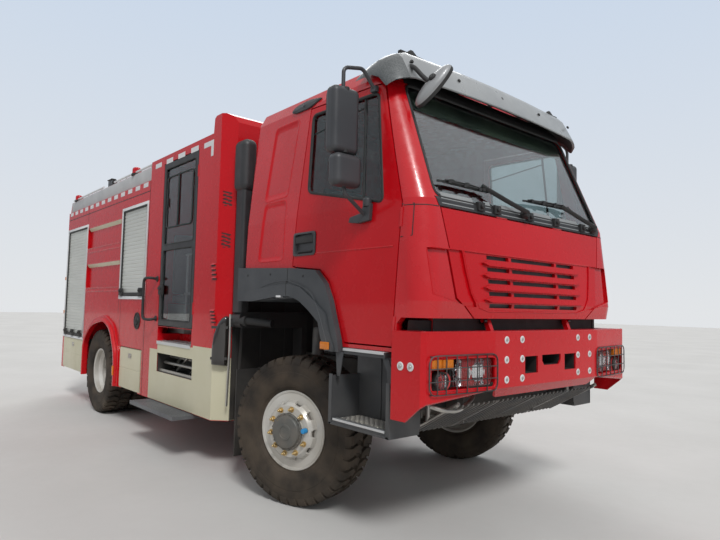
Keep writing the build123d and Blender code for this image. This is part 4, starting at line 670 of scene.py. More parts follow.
# Shutter openings: name, rear, front, bottom, top
SHUTTERS = (("front", -3.73, -2.89, 1.58, 2.67), ("rear", -6.38, -5.33, 0.97, 2.62))
for title, rear, fore, low, high in SHUTTERS:
    Form().rows(slat_rows(-SIDE_Y + 0.019, rear + 0.016, fore - 0.016, low + 0.03, high - 0.002,
        0.046)).finish("slats_" + title + "_right", "chassis", SLAT, angle=20)
    seal = Form()
    for x0, x1, z0, z1 in ((rear, rear + 0.018, low, high), (fore - 0.018, fore, low, high),
            (rear, fore, high - 0.02, high)):
        seal.side_box(x0, x1, z0, z1, 0.004, 0.026)
    seal.finish("shutter_seal_" + title + "_right", "chassis", RUBBER, 0.002)
    rim_strip = Form()
    frame_strips(rim_strip, rear, fore, low, high, 0.036, 0.009)
    rim_strip.finish("shutter_frame_" + title + "_right", "chassis", WHITE, 0.003)
    bar = Form()
    bar.side_box(rear + 0.02, fore - 0.02, low + 0.006, low + 0.046, 0.010, 0.016)
    for share in ((0.08, 0.90) if title == "front" else (0.12, 0.5, 0.88)):
        x = rear + share * (fore - rear)
        bar.side_box(x - 0.055, x + 0.055, low + 0.012, low + 0.058, 0.026, 0)
        bar.side_box(x - 0.030, x + 0.030, low + 0.040, low + 0.100, 0.034, 0)
        bar.turned(((0.016, 0), (0.016, 0.016), (0.011, 0.020)), out_y(x + 0.01, -SIDE_Y - 0.030, low + 0.07),
            16)
    bar.finish("shutter_latch_" + title + "_right", "chassis", RUBBER, 0.004)

seams = Form()
for x0, x1, z0, z1 in ((-6.448, -2.826, 2.812, 2.822), (-5.322, -5.312, 2.70, 2.94),
        (-3.775, -3.768, 1.345, 1.54), (-5.288, -5.281, 1.06, 1.63), (-3.690, -3.684, 0.96, 1.54),
        (-2.838, -2.828, 0.46, 2.94)):
    seams.side_box(x0, x1, z0, z1, 0.0006, 0.004)
seams.finish("body_seams_right", "chassis", RUBBER, smooth=False)

ledges = Form()
for z in (2.22, 1.652):
    ledges.tube([(-5.285, -SIDE_Y + 0.001, z), (-3.775, -SIDE_Y + 0.001, z)], 0.007, 8)
ledges.finish("body_beads_right", "chassis", RED)

# Recesses of the tank section: bottom, top
RECESSES = ((2.28, 2.59), (1.70, 2.05))
for index, (low, high) in enumerate(RECESSES):
    # painted light: the hood under each recess's top is cream for the light reflected onto it
    shelf = Form()
    shelf.prism(((-SIDE_Y + 0.029, high - 0.052), (-SIDE_Y - 0.002, high - 0.004),
        (-SIDE_Y - 0.002, high + 0.004), (-SIDE_Y + 0.029, high - 0.001)), "X", -5.26, -3.785)
    shelf.finish("recess_hood_" + "ab"[index] + "_right", "chassis", CREAM, 0.001)
    Form().tube(round_plate(-5.278, -3.782, low, high, -SIDE_Y, 0.02), 0.006, 8,
        closed=True).finish("recess_edge_" + "ab"[index] + "_right", "chassis", RED)

# Wheel-arch lip: outer and inner outline
ARCH_OUTER = ((-5.188, 0.452), (-5.188, 0.985), (-4.792, 1.254), (-4.250, 1.337), (-3.868, 1.216),
    (-3.646, 0.872), (-3.637, 0.452))
ARCH_INNER = ((-5.108, 0.452), (-5.108, 0.940), (-4.752, 1.176), (-4.252, 1.253), (-3.945, 1.148),
    (-3.745, 0.845), (-3.735, 0.452))


def arch_rows(steps=6):
    """Stepped lip round the rear wheel arch."""
    outer = rounded([(x, 0, z) for x, z in ARCH_OUTER], 0.09, steps)
    inner = rounded([(x, 0, z) for x, z in ARCH_INNER], 0.16, steps)
    rows = []
    for share, out in ((0.0, -0.004), (0.0, 0.016), (0.10, 0.020), (0.45, 0.020), (0.50, 0.044),
            (0.60, 0.050), (0.90, 0.050), (1.0, 0.042), (1.0, -0.02)):
        rows.append([(a.x + (b.x - a.x) * share, -SIDE_Y - out, a.z + (b.z - a.z) * share)
            for a, b in zip(outer, inner)])
    return rows


Form().rows(arch_rows()).finish("arch_lip_right", "chassis", RED, angle=40)

filler = Form(out_y(-3.07, -SIDE_Y, 1.29))
filler.turned(((0.100, -0.002), (0.100, 0.008), (0.094, 0.010), (0.088, 0.006), (0.086, -0.002)), None, 40)
filler.turned(((0.084, -0.0005), (0.084, 0.002), (0.050, 0.003), (0.046, 0.016), (0.040, 0.019),
    (0.0, 0.019)), None, 40)
filler.box((-0.034, 0.034), (-0.006, 0.006), (0.018, 0.028))
filler.finish("filler_cap_right", "chassis", RUBBER)

# Lower flaps: name, rear, front, bottom, top
LOWER_FLAPS = (("front", -3.61, -2.89, 0.460, 0.950), ("rear", -6.35, -5.23, 0.460, 0.930))
for title, rear, fore, low, high in LOWER_FLAPS:
    body = "locker_flap_" + title + "_right"
    skin = Form()
    skin.rows([[(rear + 0.004, -SIDE_Y - 0.001 - out, z), (fore - 0.004, -SIDE_Y - 0.001 - out, z)]
        for z, out in ((low + 0.004, 0.0), (low + 0.02, 0.003), (low + 0.235, 0.003), (low + 0.241, -0.0005),
        (low + 0.247, 0.003), (high - 0.02, 0.003), (high - 0.004, 0.0))])
    skin.finish("flap_skin_" + title + "_right", body, CREAM, angle=25)
    latch = Form()
    middle = (rear + fore) / 2
    latch.side_box(middle - 0.055, middle + 0.055, high - 0.115, high - 0.060, 0.008, 0)
    latch.turned(((0.012, 0), (0.012, 0.012), (0.009, 0.014)), out_y(middle + 0.025, -SIDE_Y - 0.006,
        high - 0.088), 16)
    latch.finish("flap_latch_" + title + "_right", body, STEEL, 0.003)

marks = Form()
marks.box((-3.725, -3.690), (-SIDE_Y - 0.062, -SIDE_Y - 0.046), (0.585, 0.705))
for z in (1.30, 1.84):
    marks.side_box(-6.448, -6.405, z, z + 0.055, 0.014, 0)
marks.finish("side_markers_right", "chassis", AMBER, 0.005)

# White parapet, painted darker than the white film for the shade it stands in, with its reflective dashes
fascia = Form()
fascia.prism(((-SIDE_Y + 0.019, 2.952), (-SIDE_Y + 0.017, 3.098), (-SIDE_Y + 0.022, 3.116),
    (-SIDE_Y + 0.060, 3.116), (-SIDE_Y + 0.060, 2.952)), "X", -6.385, -2.828)
fascia.finish("parapet_right", "chassis", WHITE_PAINTED_SHADE, 0.004)
rail = Form()
for x in (-6.30, -5.55, -4.90, -4.10, -3.85, -2.95):
    rail.tube([(x, -SIDE_Y + 0.04, 3.112), (x, -SIDE_Y + 0.04, 3.150)], 0.010, 8)
rail.tube(rounded([(-6.36, -SIDE_Y + 0.04, 3.150), (-4.78, -SIDE_Y + 0.04, 3.150)], 0.03), 0.014, 10)
rail.tube([(-4.30, -SIDE_Y + 0.04, 3.150), (-2.88, -SIDE_Y + 0.04, 3.150)], 0.014, 10)
rail.finish("roof_rail_right", "chassis", WHITE)
dashes = Form()
for index in range(13):
    x = -6.36 + index * 0.275
    dashes.side_box(x, x + 0.15, 2.880, 2.934, 0.0018, 0.002)
dashes.finish("body_reflectors_right", "chassis", WHITE, smooth=False)

# Crew cabin

dashes = Form()
for x in (-2.695, -2.375, -2.058, -1.735):
    dashes.side_box(x, x + 0.175, 3.050, 3.102, 0.0018, 0.002)
dashes.side_box(-1.430, -1.222, 3.038, 3.090, 0.0018, 0.002)
dashes.side_box(-1.272, -1.222, 2.932, 3.038, 0.0018, 0.002)
dashes.finish("crew_reflectors_right", "chassis", WHITE, smooth=False)

# Unpainted lower panels of the crew cabin, lapping its step recess
primer = Form()
for x0, x1, z0, z1 in ((-2.620, -2.400, 0.455, 1.000), (-2.400, -1.500, 0.455, 0.766),
        (-2.400, -1.500, 0.967, 1.080), (-1.500, -1.0725, 0.455, 1.100)):
    primer.side_box(x0, x1, z0, z1, 0.0035)
primer.finish("crew_primer_right", "chassis", CREAM, smooth=False)
wrap = Form()
wrap.add([(-1.0725, -SIDE_Y - 0.0035, 0.455), (-0.9525, -SIDE_Y + 0.1165, 0.455), (-0.9525, -SIDE_Y + 0.1165,
    1.020), (-1.0725, -SIDE_Y - 0.0035, 1.100), (-0.9525, -0.660, 0.455), (-0.9525, -0.660, 1.020)],
    ((0, 1, 2, 3), (1, 4, 5, 2)))
wrap.finish("crew_primer_nose_right", "chassis", CREAM, smooth=False)

vents = Form()
for x0, z0 in ((-1.182, 1.860), (-1.172, 1.818), (-1.162, 1.776), (-1.152, 1.734), (-1.170, 1.432),
        (-1.160, 1.400), (-1.150, 1.368), (-1.140, 1.336)):
    vents.side_box(x0 + 0.01, x0 + 0.095, z0, z0 + 0.014, 0.0008, 0.004)
inward = placed((-1.071, -SIDE_Y, 0), 45, "Z")
for base in (2.430, 2.040):
    for row in range(4):
        z = base + 0.035 * (row + 0.5)
        vents.box((0.0365, 0.1265), (0.0003, 0.0065), (z - 0.0085, z + 0.0085), inward)
        for x in ((0.040, 0.088) if row % 2 else (0.052, 0.100)):
            vents.box((x, x + 0.028), (-0.0010, 0.004), (z - 0.0215, z - 0.0145), inward)
vents.finish("crew_vents_right", "chassis", RUBBER, smooth=False)
hoods = Form()
for x0, z0 in ((-1.182, 1.878), (-1.172, 1.836), (-1.162, 1.794), (-1.152, 1.752), (-1.170, 1.448),
        (-1.160, 1.416), (-1.150, 1.384), (-1.140, 1.352)):
    hoods.prism(((-SIDE_Y, z0 - 0.004), (-SIDE_Y - 0.012, z0 - 0.003), (-SIDE_Y - 0.010, z0 + 0.002),
        (-SIDE_Y, z0 + 0.012)), "X", x0 + 0.005, x0 + 0.10)
hoods.finish("crew_vent_hoods_right", "chassis", RED, 0.001)

# Crew door
gasket = Form()
for low, high in ((1.325, 2.085), (2.145, 2.990)):
    gasket.tube(round_plate(-2.365, -1.605, low, high, -SIDE_Y + 0.004, 0.03), 0.009, 8, closed=True)
gasket.finish("crew_door_gasket_right", "crew_door_right", RUBBER)
pane = Form()
pane.tube(round_plate(-2.330, -1.680, 2.33, 2.89, -SIDE_Y + 0.010, 0.05), 0.010, 8, closed=True, flat=0.7)
pane.box((-2.04, -2.015), (-SIDE_Y + 0.001, -SIDE_Y + 0.013), (2.335, 2.885))
pane.side_box(-2.318, -2.302, 2.56, 2.66, 0.004, 0.013)
pane.finish("crew_sliding_pane_right", "crew_door_right", RUBBER, 0.002)
lock = Form()
lock.side_box(-2.405, -2.300, 1.600, 1.700, 0.022, 0)
lock.box((-2.395, -2.325), (-SIDE_Y - 0.036, -SIDE_Y - 0.018), (1.655, 1.680))
lock.turned(((0.014, 0), (0.014, 0.010), (0.011, 0.013)), out_y(-2.330, -SIDE_Y - 0.020, 1.625), 16)
lock.finish("crew_door_lock_right", "crew_door_right", RUBBER, 0.004)
grip = Form()
grip.tube(rounded([(-2.500, -SIDE_Y, 1.775), (-2.500, -SIDE_Y - 0.085, 1.785), (-2.645, -SIDE_Y - 0.095,
    1.780), (-2.640, -SIDE_Y - 0.095, 1.330), (-2.480, -SIDE_Y - 0.085, 1.320), (-2.480, -SIDE_Y, 1.335)],
    0.055, 6), 0.0155, 12)
for z in (1.775, 1.335):
    grip.turned(((0.032, 0.0), (0.032, 0.008), (0.022, 0.012)), out_y(-2.490, -SIDE_Y, z), 20)
grip.finish("crew_grab_handle_right", "chassis", RUBBER)
pole = Form()
pole.tube(rounded([(-1.72, -SIDE_Y + 0.08, 1.30), (-1.70, -SIDE_Y + 0.12, 1.42),
    (-1.63, -SIDE_Y + 0.12, 1.98), (-1.62, -SIDE_Y + 0.08, 2.05)], 0.05), 0.017, 12)
pole.finish("crew_grab_pole_right", "crew_door_right", YELLOW)
tread = Form()
tread.box((-2.415, -1.555), (-SIDE_Y - 0.004, -1.004), (1.086, 1.096))
tread.box((-2.415, -1.555), (-SIDE_Y - 0.010, -SIDE_Y - 0.002), (1.062, 1.096))
for row in range(4):
    for index in range(26):
        spot = placed((-2.40 + index * 0.033, -1.225 + row * 0.055 + 0.02 * (index % 2), 1.0965), 35
            if (index + row) % 2 else -35, "Z")
        tread.box((-0.013, 0.013), (-0.003, 0.003), (0.0, 0.0022), spot)
tread.finish("crew_step_tread_right", "chassis", ALU, 0.0008, 1)
struts = Form()
for x, z, y in ((-2.39, 0.80, -1.06), (-2.20, 0.78, -1.10), (-1.95, 0.77, -1.06)):
    struts.tube([(x, y, z), (x + 0.30, y - 0.02, z + 0.16)], 0.014, 8)
struts.tube([(-2.395, -1.16, 0.86), (-1.505, -1.16, 0.86)], 0.016, 10)
struts.tube([(-2.395, -1.10, 0.92), (-1.505, -1.10, 0.92)], 0.012, 10)
struts.box((-2.398, -1.502), (-1.225, -1.205), (0.768, 0.795))
struts.finish("crew_recess_struts_right", "chassis", STEEL)
plate = Form()
for row in range(11):
    y = -1.436 + row * 0.030
    plate.box((-2.585, -1.465), (y, y + 0.016), (0.4395, 0.4445))
plate.box((-2.602, -1.448), (-1.4535, -1.444), (0.403, 0.443))
plate.finish("crew_step_ribs_right", "crew_step_right", STEP_GREY, 0.0015, 1)

# Windscreen and door glass surrounds

SCREEN = ((-0.985, 3.040), (0.985, 3.040), (1.030, 2.216), (-1.030, 2.216))
seal_path = [on_front(p.x, p.y, -0.003) for p in dense(ring_path(SCREEN, 0.07, 6), 0.04)]
Form().tube(seal_path, 0.011, 8, closed=True).finish("screen_seal", "cab", RUBBER)

DOOR_WINDOW = ((0.237, 2.995), (0.256, 2.379), (1.112, 2.198), (0.994, 2.969))
Form().tube([on_side(p.x, p.y, -0.004) for p in dense(ring_path(DOOR_WINDOW, 0.05, 6), 0.04)], 0.012, 8,
    closed=True).finish("door_seal_right", "cab_door_right", RUBBER)
bar = Form()
bar.tube([on_side(0.845, 2.975, -0.016), on_side(0.900, 2.238, -0.016)], 0.011, 8)
bar.tube([on_side(0.245, 2.840, -0.016), on_side(0.852, 2.905, -0.016)], 0.006, 6)
bar.finish("door_window_bar_right", "cab_door_right", RUBBER)

# Door handle in its cup
cup = Form()
cup.rows([[(0.2475 + p.x * scale, -CAB_Y - out, 1.982 + p.y * scale) for p in oblong(-0.1445, 0.1445, -0.09,
    0.09, 0.03, 5)] for scale, out in ((1.0, -0.006), (1.0, 0.006), (0.93, 0.010), (0.84, 0.009),
    (0.80, -0.016), (0.0, -0.018))], True)
cup.finish("door_handle_cup_right", "cab_door_right", GREY_PLASTIC, angle=50)
pull = Form()
pull.box((0.135, 0.360), (-CAB_Y - 0.007, -CAB_Y + 0.014), (1.990, 2.040))
pull.box((0.150, 0.345), (-CAB_Y - 0.004, -CAB_Y + 0.014), (1.918, 1.932))
pull.finish("door_pull_right", "cab_door_right", RUBBER, 0.006, 3)
Form().tube([on_side(x, 1.897 + 0.006 * (x > 0), -0.0015) for x in (0.118, 0.4, 0.8, 1.22)], 0.0055,
    8).finish("door_crease_right", "cab_door_right", RED)

# Roof-side marker lamp
marker = Form()
outline = ring_path([(0.344, 3.118, 0), (0.20, 3.066, 0), (-0.02, 3.066, 0), (-0.085, 3.100, 0),
    (-0.02, 3.140, 0), (0.16, 3.150, 0)], 0.05, 5)
rows = []
for scale, lift in ((1.0, -0.004), (1.0, 0.008), (0.92, 0.014), (0.0, 0.015)):
    rows.append([on_side(0.13 + (p.x - 0.13) * scale, 3.106 + (p.y - 3.106) * scale, lift) for p in outline])
marker.rows(rows, True)
marker.finish("roof_marker_right", "cab", BLACK, angle=50)
Form(placed(on_side(0.10, 3.105, 0.012), 70, "X")).turned(((0.018, -0.004), (0.018, 0.004), (0.012, 0.008),
    (0.0, 0.009)), None, 20).finish("roof_marker_lens_right", "cab", LENS)

# Pressed panels behind the door: upper and lower outline
PRESSINGS = (("upper", ((-0.296, 3.001), (0.050, 3.005), (-0.036, 2.396), (-0.378, 2.385))),
    ("lower", ((-0.363, 2.354), (-0.040, 2.354), (-0.050, 1.878), (-0.426, 1.875))))
for title, outline in PRESSINGS:
    ridge = Form()
    path = dense(ring_path([(x, z, 0) for x, z in outline], 0.045, 6), 0.05)
    middle = sum(path, Vector()) / len(path)
    ridge.rows([[on_side(middle.x + (p.x - middle.x) * (1 - draw), middle.y + (p.y - middle.y) * (1 - draw),
        lift) for p in path] for draw, lift in ((-0.05, 0.0), (-0.035, 0.0022), (-0.01, 0.0015),
        (0.04, -0.0035), (0.09, -0.0062), (0.14, -0.0072))], True)
    ridge.finish("cab_pressing_" + title + "_right", "cab", RED)

# Front corner: pocket, panel seams
seam = Form()
for path in (((1.290, 2.160), (1.372, 2.160)), ((1.372, 2.160), (1.372, 1.960)),
        ((1.285, 1.955), (1.372, 1.960))):
    points = [on_side(*path[0], 0.0), on_side(*path[1], 0.0)]
    seam.tube(points, 0.0035, 6)
seam.tube([on_front(-1.180 + 0.01 * i, COWL_Z, -0.001) for i in range(18)], 0.0035, 6)
seam.finish("corner_seams_right", "cab", RUBBER)
pocket = Form()
path = ((-0.938, 1.888, 0), (-1.120, 1.888, 0), (-1.100, 1.602, 0), (-0.957, 1.572, 0), (-0.886, 1.555, 0))
pocket.tube([on_front(p.x, p.y, -0.0015) for p in dense(path, 0.03, False)], 0.0042, 8)
pocket.finish("corner_pocket_right", "cab", RED)

# Grille panel edge
GRILLE_EDGE = ((-0.800, 1.889), (0.800, 1.889), (0.780, 1.764), (0.740, 1.615), (0.670, 1.525),
    (0.570, 1.503), (-0.570, 1.503), (-0.670, 1.525), (-0.740, 1.615), (-0.780, 1.764))
Form().tube([on_front(p.x, p.y, -0.0008) for p in dense(GRILLE_EDGE, 0.05)], 0.0045, 8,
    closed=True).finish("grille_edge", "front_flap", RED)

# Cowl with wiper arms
wipers = Form()
for blade, (pivot, tip) in ((((-0.985, 2.326), (-0.852, 2.336), (-0.645, 2.339), (-0.463, 2.324)),
        ((-0.099, 2.208), (-0.535, 2.357))), (((-0.035, 2.328), (0.283, 2.35), (0.478, 2.357), (0.635, 2.34)),
        ((0.892, 2.207), (0.486, 2.354)))):
    base, end = on_front(*pivot, 0.030), on_front(*tip, 0.034)
    elbow = base.lerp(end, 0.42) + Vector((0.018, 0, 0.0))
    wipers.tube(rounded([base, base + Vector((0.026, 0, 0.01)), elbow, end], 0.05), 0.0105, 8, flat=1.6)
    wipers.turned(((0.030, -0.026), (0.030, 0.012), (0.022, 0.026), (0.010, 0.030)), out_x(*base), 20)
    blade = dense([on_front(y, z, 0.014) for y, z in blade], 0.05)
    wipers.tube(blade, 0.0080, 6, flat=0.6)
    wipers.tube([p + Vector((0.012, 0, 0.007)) for p in blade[1:-1]], 0.0050, 6)
    for p in blade[2:-1:3]:
        wipers.box((p.x, p.x + 0.022), (p.y - 0.014, p.y + 0.014), (p.z - 0.006, p.z + 0.014))
wipers.finish("wipers", "cab", RUBBER)
brackets = Form()
for y in (-0.60, -0.42, -0.02, 0.34, 0.74, 0.92):
    spot = on_front(y, 2.196, 0.0)
    brackets.box((spot.x - 0.004, spot.x + 0.022), (y - 0.034, y + 0.034), (2.172, 2.232))
    brackets.turned(((0.016, 0), (0.016, 0.016), (0.010, 0.020)), out_x(spot.x + 0.020, y, 2.200), 12)
brackets.finish("cowl_brackets", "cab", RUBBER, 0.004)
covers = Form()
for y0, y1 in ((-0.985, -0.665), (-0.545, -0.475), (-0.360, -0.075), (0.045, 0.290), (0.400, 0.690),
        (0.790, 0.870)):
    covers.rows([[on_front(y0 + (y1 - y0) * i / 8, z, lift) for i in range(9)]
        for z, lift in ((2.172, -0.006), (2.174, 0.0045), (2.222, 0.0075), (2.250, 0.0055), (2.252, -0.006))])
covers.finish("cowl_covers", "cab", COWL, angle=50)

# Sun visor: place across, then how far its section is shifted forward and down
VISOR_ENDS = ((-1.168, -0.10, -0.150, 0.62), (-1.157, -0.083, -0.122, 0.69), (-1.135, -0.055, -0.080, 0.80),
    (-1.09, -0.034, -0.046, 0.88), (-1.04, -0.018, -0.020, 0.94), (-0.985, -0.006, 0.0, 1.0),
    (-0.45, 0.012, 0.010, 1.0), (0.0, 0.016, 0.014, 1.0))
VISOR_SECTION = ((0.905, 3.232), (0.985, 3.262), (1.060, 3.276), (1.115, 3.262), (1.160, 3.215),
    (1.212, 3.115), (1.238, 3.060), (1.243, 3.046), (1.236, 3.040), (1.222, 3.044), (1.150, 3.170),
    (1.085, 3.222), (0.985, 3.232))


def visor_rows(ends):
    """Visor sections across the cab."""
    rows = []
    for y, ahead, down, tall in ends:
        rows.append([(x + ahead - 0.02, y, 3.262 + down + (z - 3.262) * tall) for x, z in VISOR_SECTION])
    return rows


right_half = list(VISOR_ENDS)
left_half = [(-y, a, d, t) for y, a, d, t in reversed(VISOR_ENDS[:-1])]
visor = Form()
visor.rows(visor_rows(right_half[4:] + left_half[:-1]), True)
for y in (-0.64, -0.22, 0.22, 0.64):
    visor.box((0.858, 0.906), (y - 0.025, y + 0.025), (3.2253, 3.2435))
visor.finish("visor_blade", "cab", VISOR, angle=50, replaces=("visor",))
Form().rows(visor_rows(right_half[:5]), True, True).finish("visor_end_right", "cab", VISOR_DARK, angle=50)
lining = Form()
lining.rows([[(x + ahead, y, 3.262 + down + (z - 3.262) * tall - 0.0025) for x, z in ((1.199, 3.045),
    (1.128, 3.168), (1.063, 3.2195), (0.905, 3.2285))]
    for y, ahead, down, tall in right_half[1:] + left_half[:-1]])
lining.finish("visor_lining", "cab", RUBBER)
studs = Form()
for y in (-1.0, -0.52, 0.0, 0.52, 1.0):
    spot = placed((1.176 + 0.008 * (abs(y) < 0.9), y, 3.166), 62, "Y")
    studs.turned(((0.013, -0.006), (0.013, 0.004), (0.009, 0.0065), (0.006, 0.002), (0.0, 0.002)), spot, 16)
studs.finish("visor_studs", "cab", RUBBER)
clip = Form()
for y in (-0.88, 0.90):
    clip.box((1.030, 1.060), (y - 0.115, y + 0.115), (3.272, 3.292))
    clip.rows([[(1.030, y - 0.05, 3.290), (1.060, y - 0.05, 3.290), (1.060, y + 0.05, 3.290),
        (1.030, y + 0.05, 3.290)], [(1.036, y - 0.012, 3.322), (1.054, y - 0.012, 3.322),
        (1.054, y + 0.012, 3.322), (1.036, y + 0.012, 3.322)]], True, True)
clip.finish("visor_clips", "cab", RUBBER, 0.004)

# Beacon bar on the cab roof
bar = Form()
bar.rows([[(x, y, z) for x, z in ((0.560, 3.2262), (0.795, 3.2262), (0.795, 3.258), (0.560, 3.258))]
    for y in (-0.90, 0.90)], True, True)
bar.finish("beacon_base", "cab", RUBBER, 0.006, replaces=("cab_beacon",))
lens = Form()
for start, end in ((-0.895, -0.32), (-0.29, 0.29), (0.32, 0.895)):
    lens.rows([[(0.677 + dx * grow, y, 3.258 + h * tall) for dx, h in ((-0.112, 0.0), (-0.110, 0.050),
        (-0.088, 0.085), (-0.05, 0.098), (0.05, 0.098), (0.088, 0.085), (0.110, 0.050), (0.112, 0.0))]
        for y, grow, tall in ((start, 0.86, 0.7), (start + 0.03, 1.0, 1.0), (end - 0.03, 1.0, 1.0),
        (end, 0.86, 0.7))], True, True)
lens.finish("beacon_lens", "cab", RED_LENS, angle=50)

# Bumper
edge = Form()
edge.tube(rounded([(x, y, 1.377) for x, y in ((1.525, -1.244), (1.548, -1.222), (1.613, -0.656),
    (1.613, 0.656), (1.548, 1.222), (1.525, 1.244))], 0.02), 0.0035, 6)
edge.finish("bumper_edge", "chassis", RED)
bolts, collars = Form(), Form()
for side in (-1, 1):
    for y in (0.361, 0.535):
        for z in (1.323, 1.196, 1.069):
            place = out_x(1.615, side * y, z)
            collars.turned(((0.024, -0.001), (0.024, 0.002), (0.0215, 0.004), (0.017, 0.004), (0.0155, 0.001),
                (0.0, 0.001)), place, 28)
            bolts.turned(((0.010, 0.0), (0.010, 0.0065), (0.008, 0.008), (0.0, 0.008)), place, 6)
    for x, z in ((1.367, 1.169), (1.450, 1.171)):
        spot = placed((x, side * 1.2495, z), -90 * side, "X")
        collars.turned(((0.026, -0.001), (0.026, 0.002), (0.023, 0.004), (0.018, 0.004), (0.0165, 0.001),
            (0.0, 0.001)), spot, 28)
        bolts.turned(((0.011, 0.0), (0.011, 0.007), (0.009, 0.009), (0.0, 0.009)), spot, 6)
collars.finish("bumper_bolt_collars", "chassis", WHITE)
bolts.finish("bumper_bolts", "chassis", STEEL)

wing = math.atan2(0.065, 0.566)


def on_wing(y, z, lift=0.0):
    """Point of the bumper's right wing face."""
    return Vector((1.615 - (-y - 0.656) * 0.065 / 0.566 + lift, y, z))


def wing_place(y, z, lift=0.0):
    """Placement on the right wing with local Z forward."""
    return (Matrix.Translation(on_wing(y, z, lift)) @ Matrix.Rotation(-wing, 4,
        "Z") @ Matrix.Rotation(math.radians(90), 4, "Y"))


Form().tube([on_wing(p.x, p.y, -0.001) for p in oblong(-0.652, -1.188, 1.222, 1.032, 0.03, 5)], 0.006, 8,
    closed=True).finish("lamp_window_edge_right", "chassis", RED)
head = Form()
head.rows([[on_wing(p.x, p.y, lift) for p in oblong(-0.668 - inset, -0.970 + inset, 1.212 - inset,
    1.046 + inset, 0.02)] for inset, lift in ((0.0, -0.050), (0.0, -0.022), (0.010, -0.012), (0.05, -0.008))],
    True, True)
head.finish("headlamp_lens_right", "chassis", LENS, angle=50)
bowls = Form()
for y in (-0.790, -0.905):
    bowls.turned(((0.056, -0.026), (0.046, -0.046), (0.030, -0.058), (0.012, -0.062), (0.010, -0.040),
        (0.0, -0.036)), wing_place(y, 1.129, -0.004), 28)
bowls.turned(((0.046, -0.020), (0.036, -0.034), (0.014, -0.044), (0.0, -0.045)), wing_place(-1.090, 1.087,
    0.0), 28)
bowls.finish("lamp_bowls_right", "chassis", MIRROR, slot="lamp_lens")
case = Form()
case.box((1.475, 1.515), (-0.975, -0.662), (1.040, 1.218))
case.turned(((0.058, -0.045), (0.058, 0.000), (0.052, 0.006), (0.047, 0.004), (0.046, -0.020)),
    wing_place(-1.090, 1.087, -0.012), 36)
case.finish("lamp_case_right", "chassis", RUBBER, 0.004)
Form().turned(((0.047, -0.004), (0.044, 0.004), (0.030, 0.010), (0.0, 0.013)), wing_place(-1.090, 1.087,
    -0.012), 32).finish("fog_lens_right", "chassis", LENS)
flash = Form()
for y0, y1 in ((-1.178, -1.100), (-1.092, -1.010)):
    flash.rows([[on_wing(y, z, lift) for y, z in ((y0, 1.158), (y1, 1.158), (y1, 1.216), (y0, 1.216))]
        for lift in (-0.05, 0.002)], True, True)
flash.finish("indicator_lens_right", "chassis", AMBER, 0.005)
guard = Form()
guard.tube([on_wing(p.x, p.y, 0.006 + 0.02 * (-p.x - 0.640)) for p in oblong(-0.640, -1.212, 1.240, 1.012,
    0.055, 6)], 0.0042, 8, closed=True)
for y in (-0.735, -0.822, -0.908, -0.995, -1.080, -1.150):
    proud = 0.007 + 0.02 * (-y - 0.640)
    guard.tube([on_wing(y, 1.240, proud - 0.004), on_wing(y, 1.232, proud), on_wing(y, 1.020, proud),
        on_wing(y, 1.012, proud - 0.004)], 0.0036, 6)
for z in (1.090, 1.165):
    guard.tube([on_wing(-0.645, z, 0.007), on_wing(-1.208, z, 0.018)], 0.0036, 6)
for y in (-0.675, -1.19):
    for z in (1.236, 1.016):
        guard.tube([on_wing(y, z, 0.013), on_wing(y, z, -0.002)], 0.0045, 6)
guard.finish("lamp_guard_wires_right", "chassis", GUARD, replaces=("lamp_guards",))


# Seats, padded
def pad(name, body, place, half, material, channels=(), soft=0.30, pinch=0.04):
    """Crowned cushion about its own middle, its long sides drawn in, with sewn channels on top."""
    form = Form(place)
    marks = [math.sin(math.pi / 2 * (i / 11 - 1)) for i in range(23)]

    def at(a, b, c):
        x = a * math.sqrt(1 - soft * (b * b + c * c) / 2 + soft * b * b * c * c / 3)
        y = b * math.sqrt(1 - soft * (a * a + c * c) / 2 + soft * a * a * c * c / 3)
        z = c * (0.66 + 0.34 * (1 - a ** 4) * (1 - b ** 4))
        for axis, spot in channels:
            z -= 0.17 * math.exp(-(((a, b)[axis] - spot) / 0.045) ** 2) * (c > 0.9)
        return Vector((x * (1 - pinch * (1 - b * b)) * half[0], y * (1 - pinch * (1 - a * a)) * half[1],
            z * half[2]))

    edge = marks[::4] + [1.0]
    for c in (-1, 1):
        form.rows([[at(a, b, c) for b in marks] for a in marks])
        form.rows([[at(c, b, e) for b in marks] for e in edge])
        form.rows([[at(a, c, e) for a in marks] for e in edge])
    made = form.finish(name, body, material, angle=70, slot="seat_fabric", twin=False)
    around = ([(a, -1) for a in marks] + [(1, b) for b in marks[1:]] + [(a, 1) for a in marks[-2::-1]] + [(-1,
        b) for b in marks[-2:0:-1]])
    return [place @ (at(a, b, 0.97) * 1.003) for a, b in around]


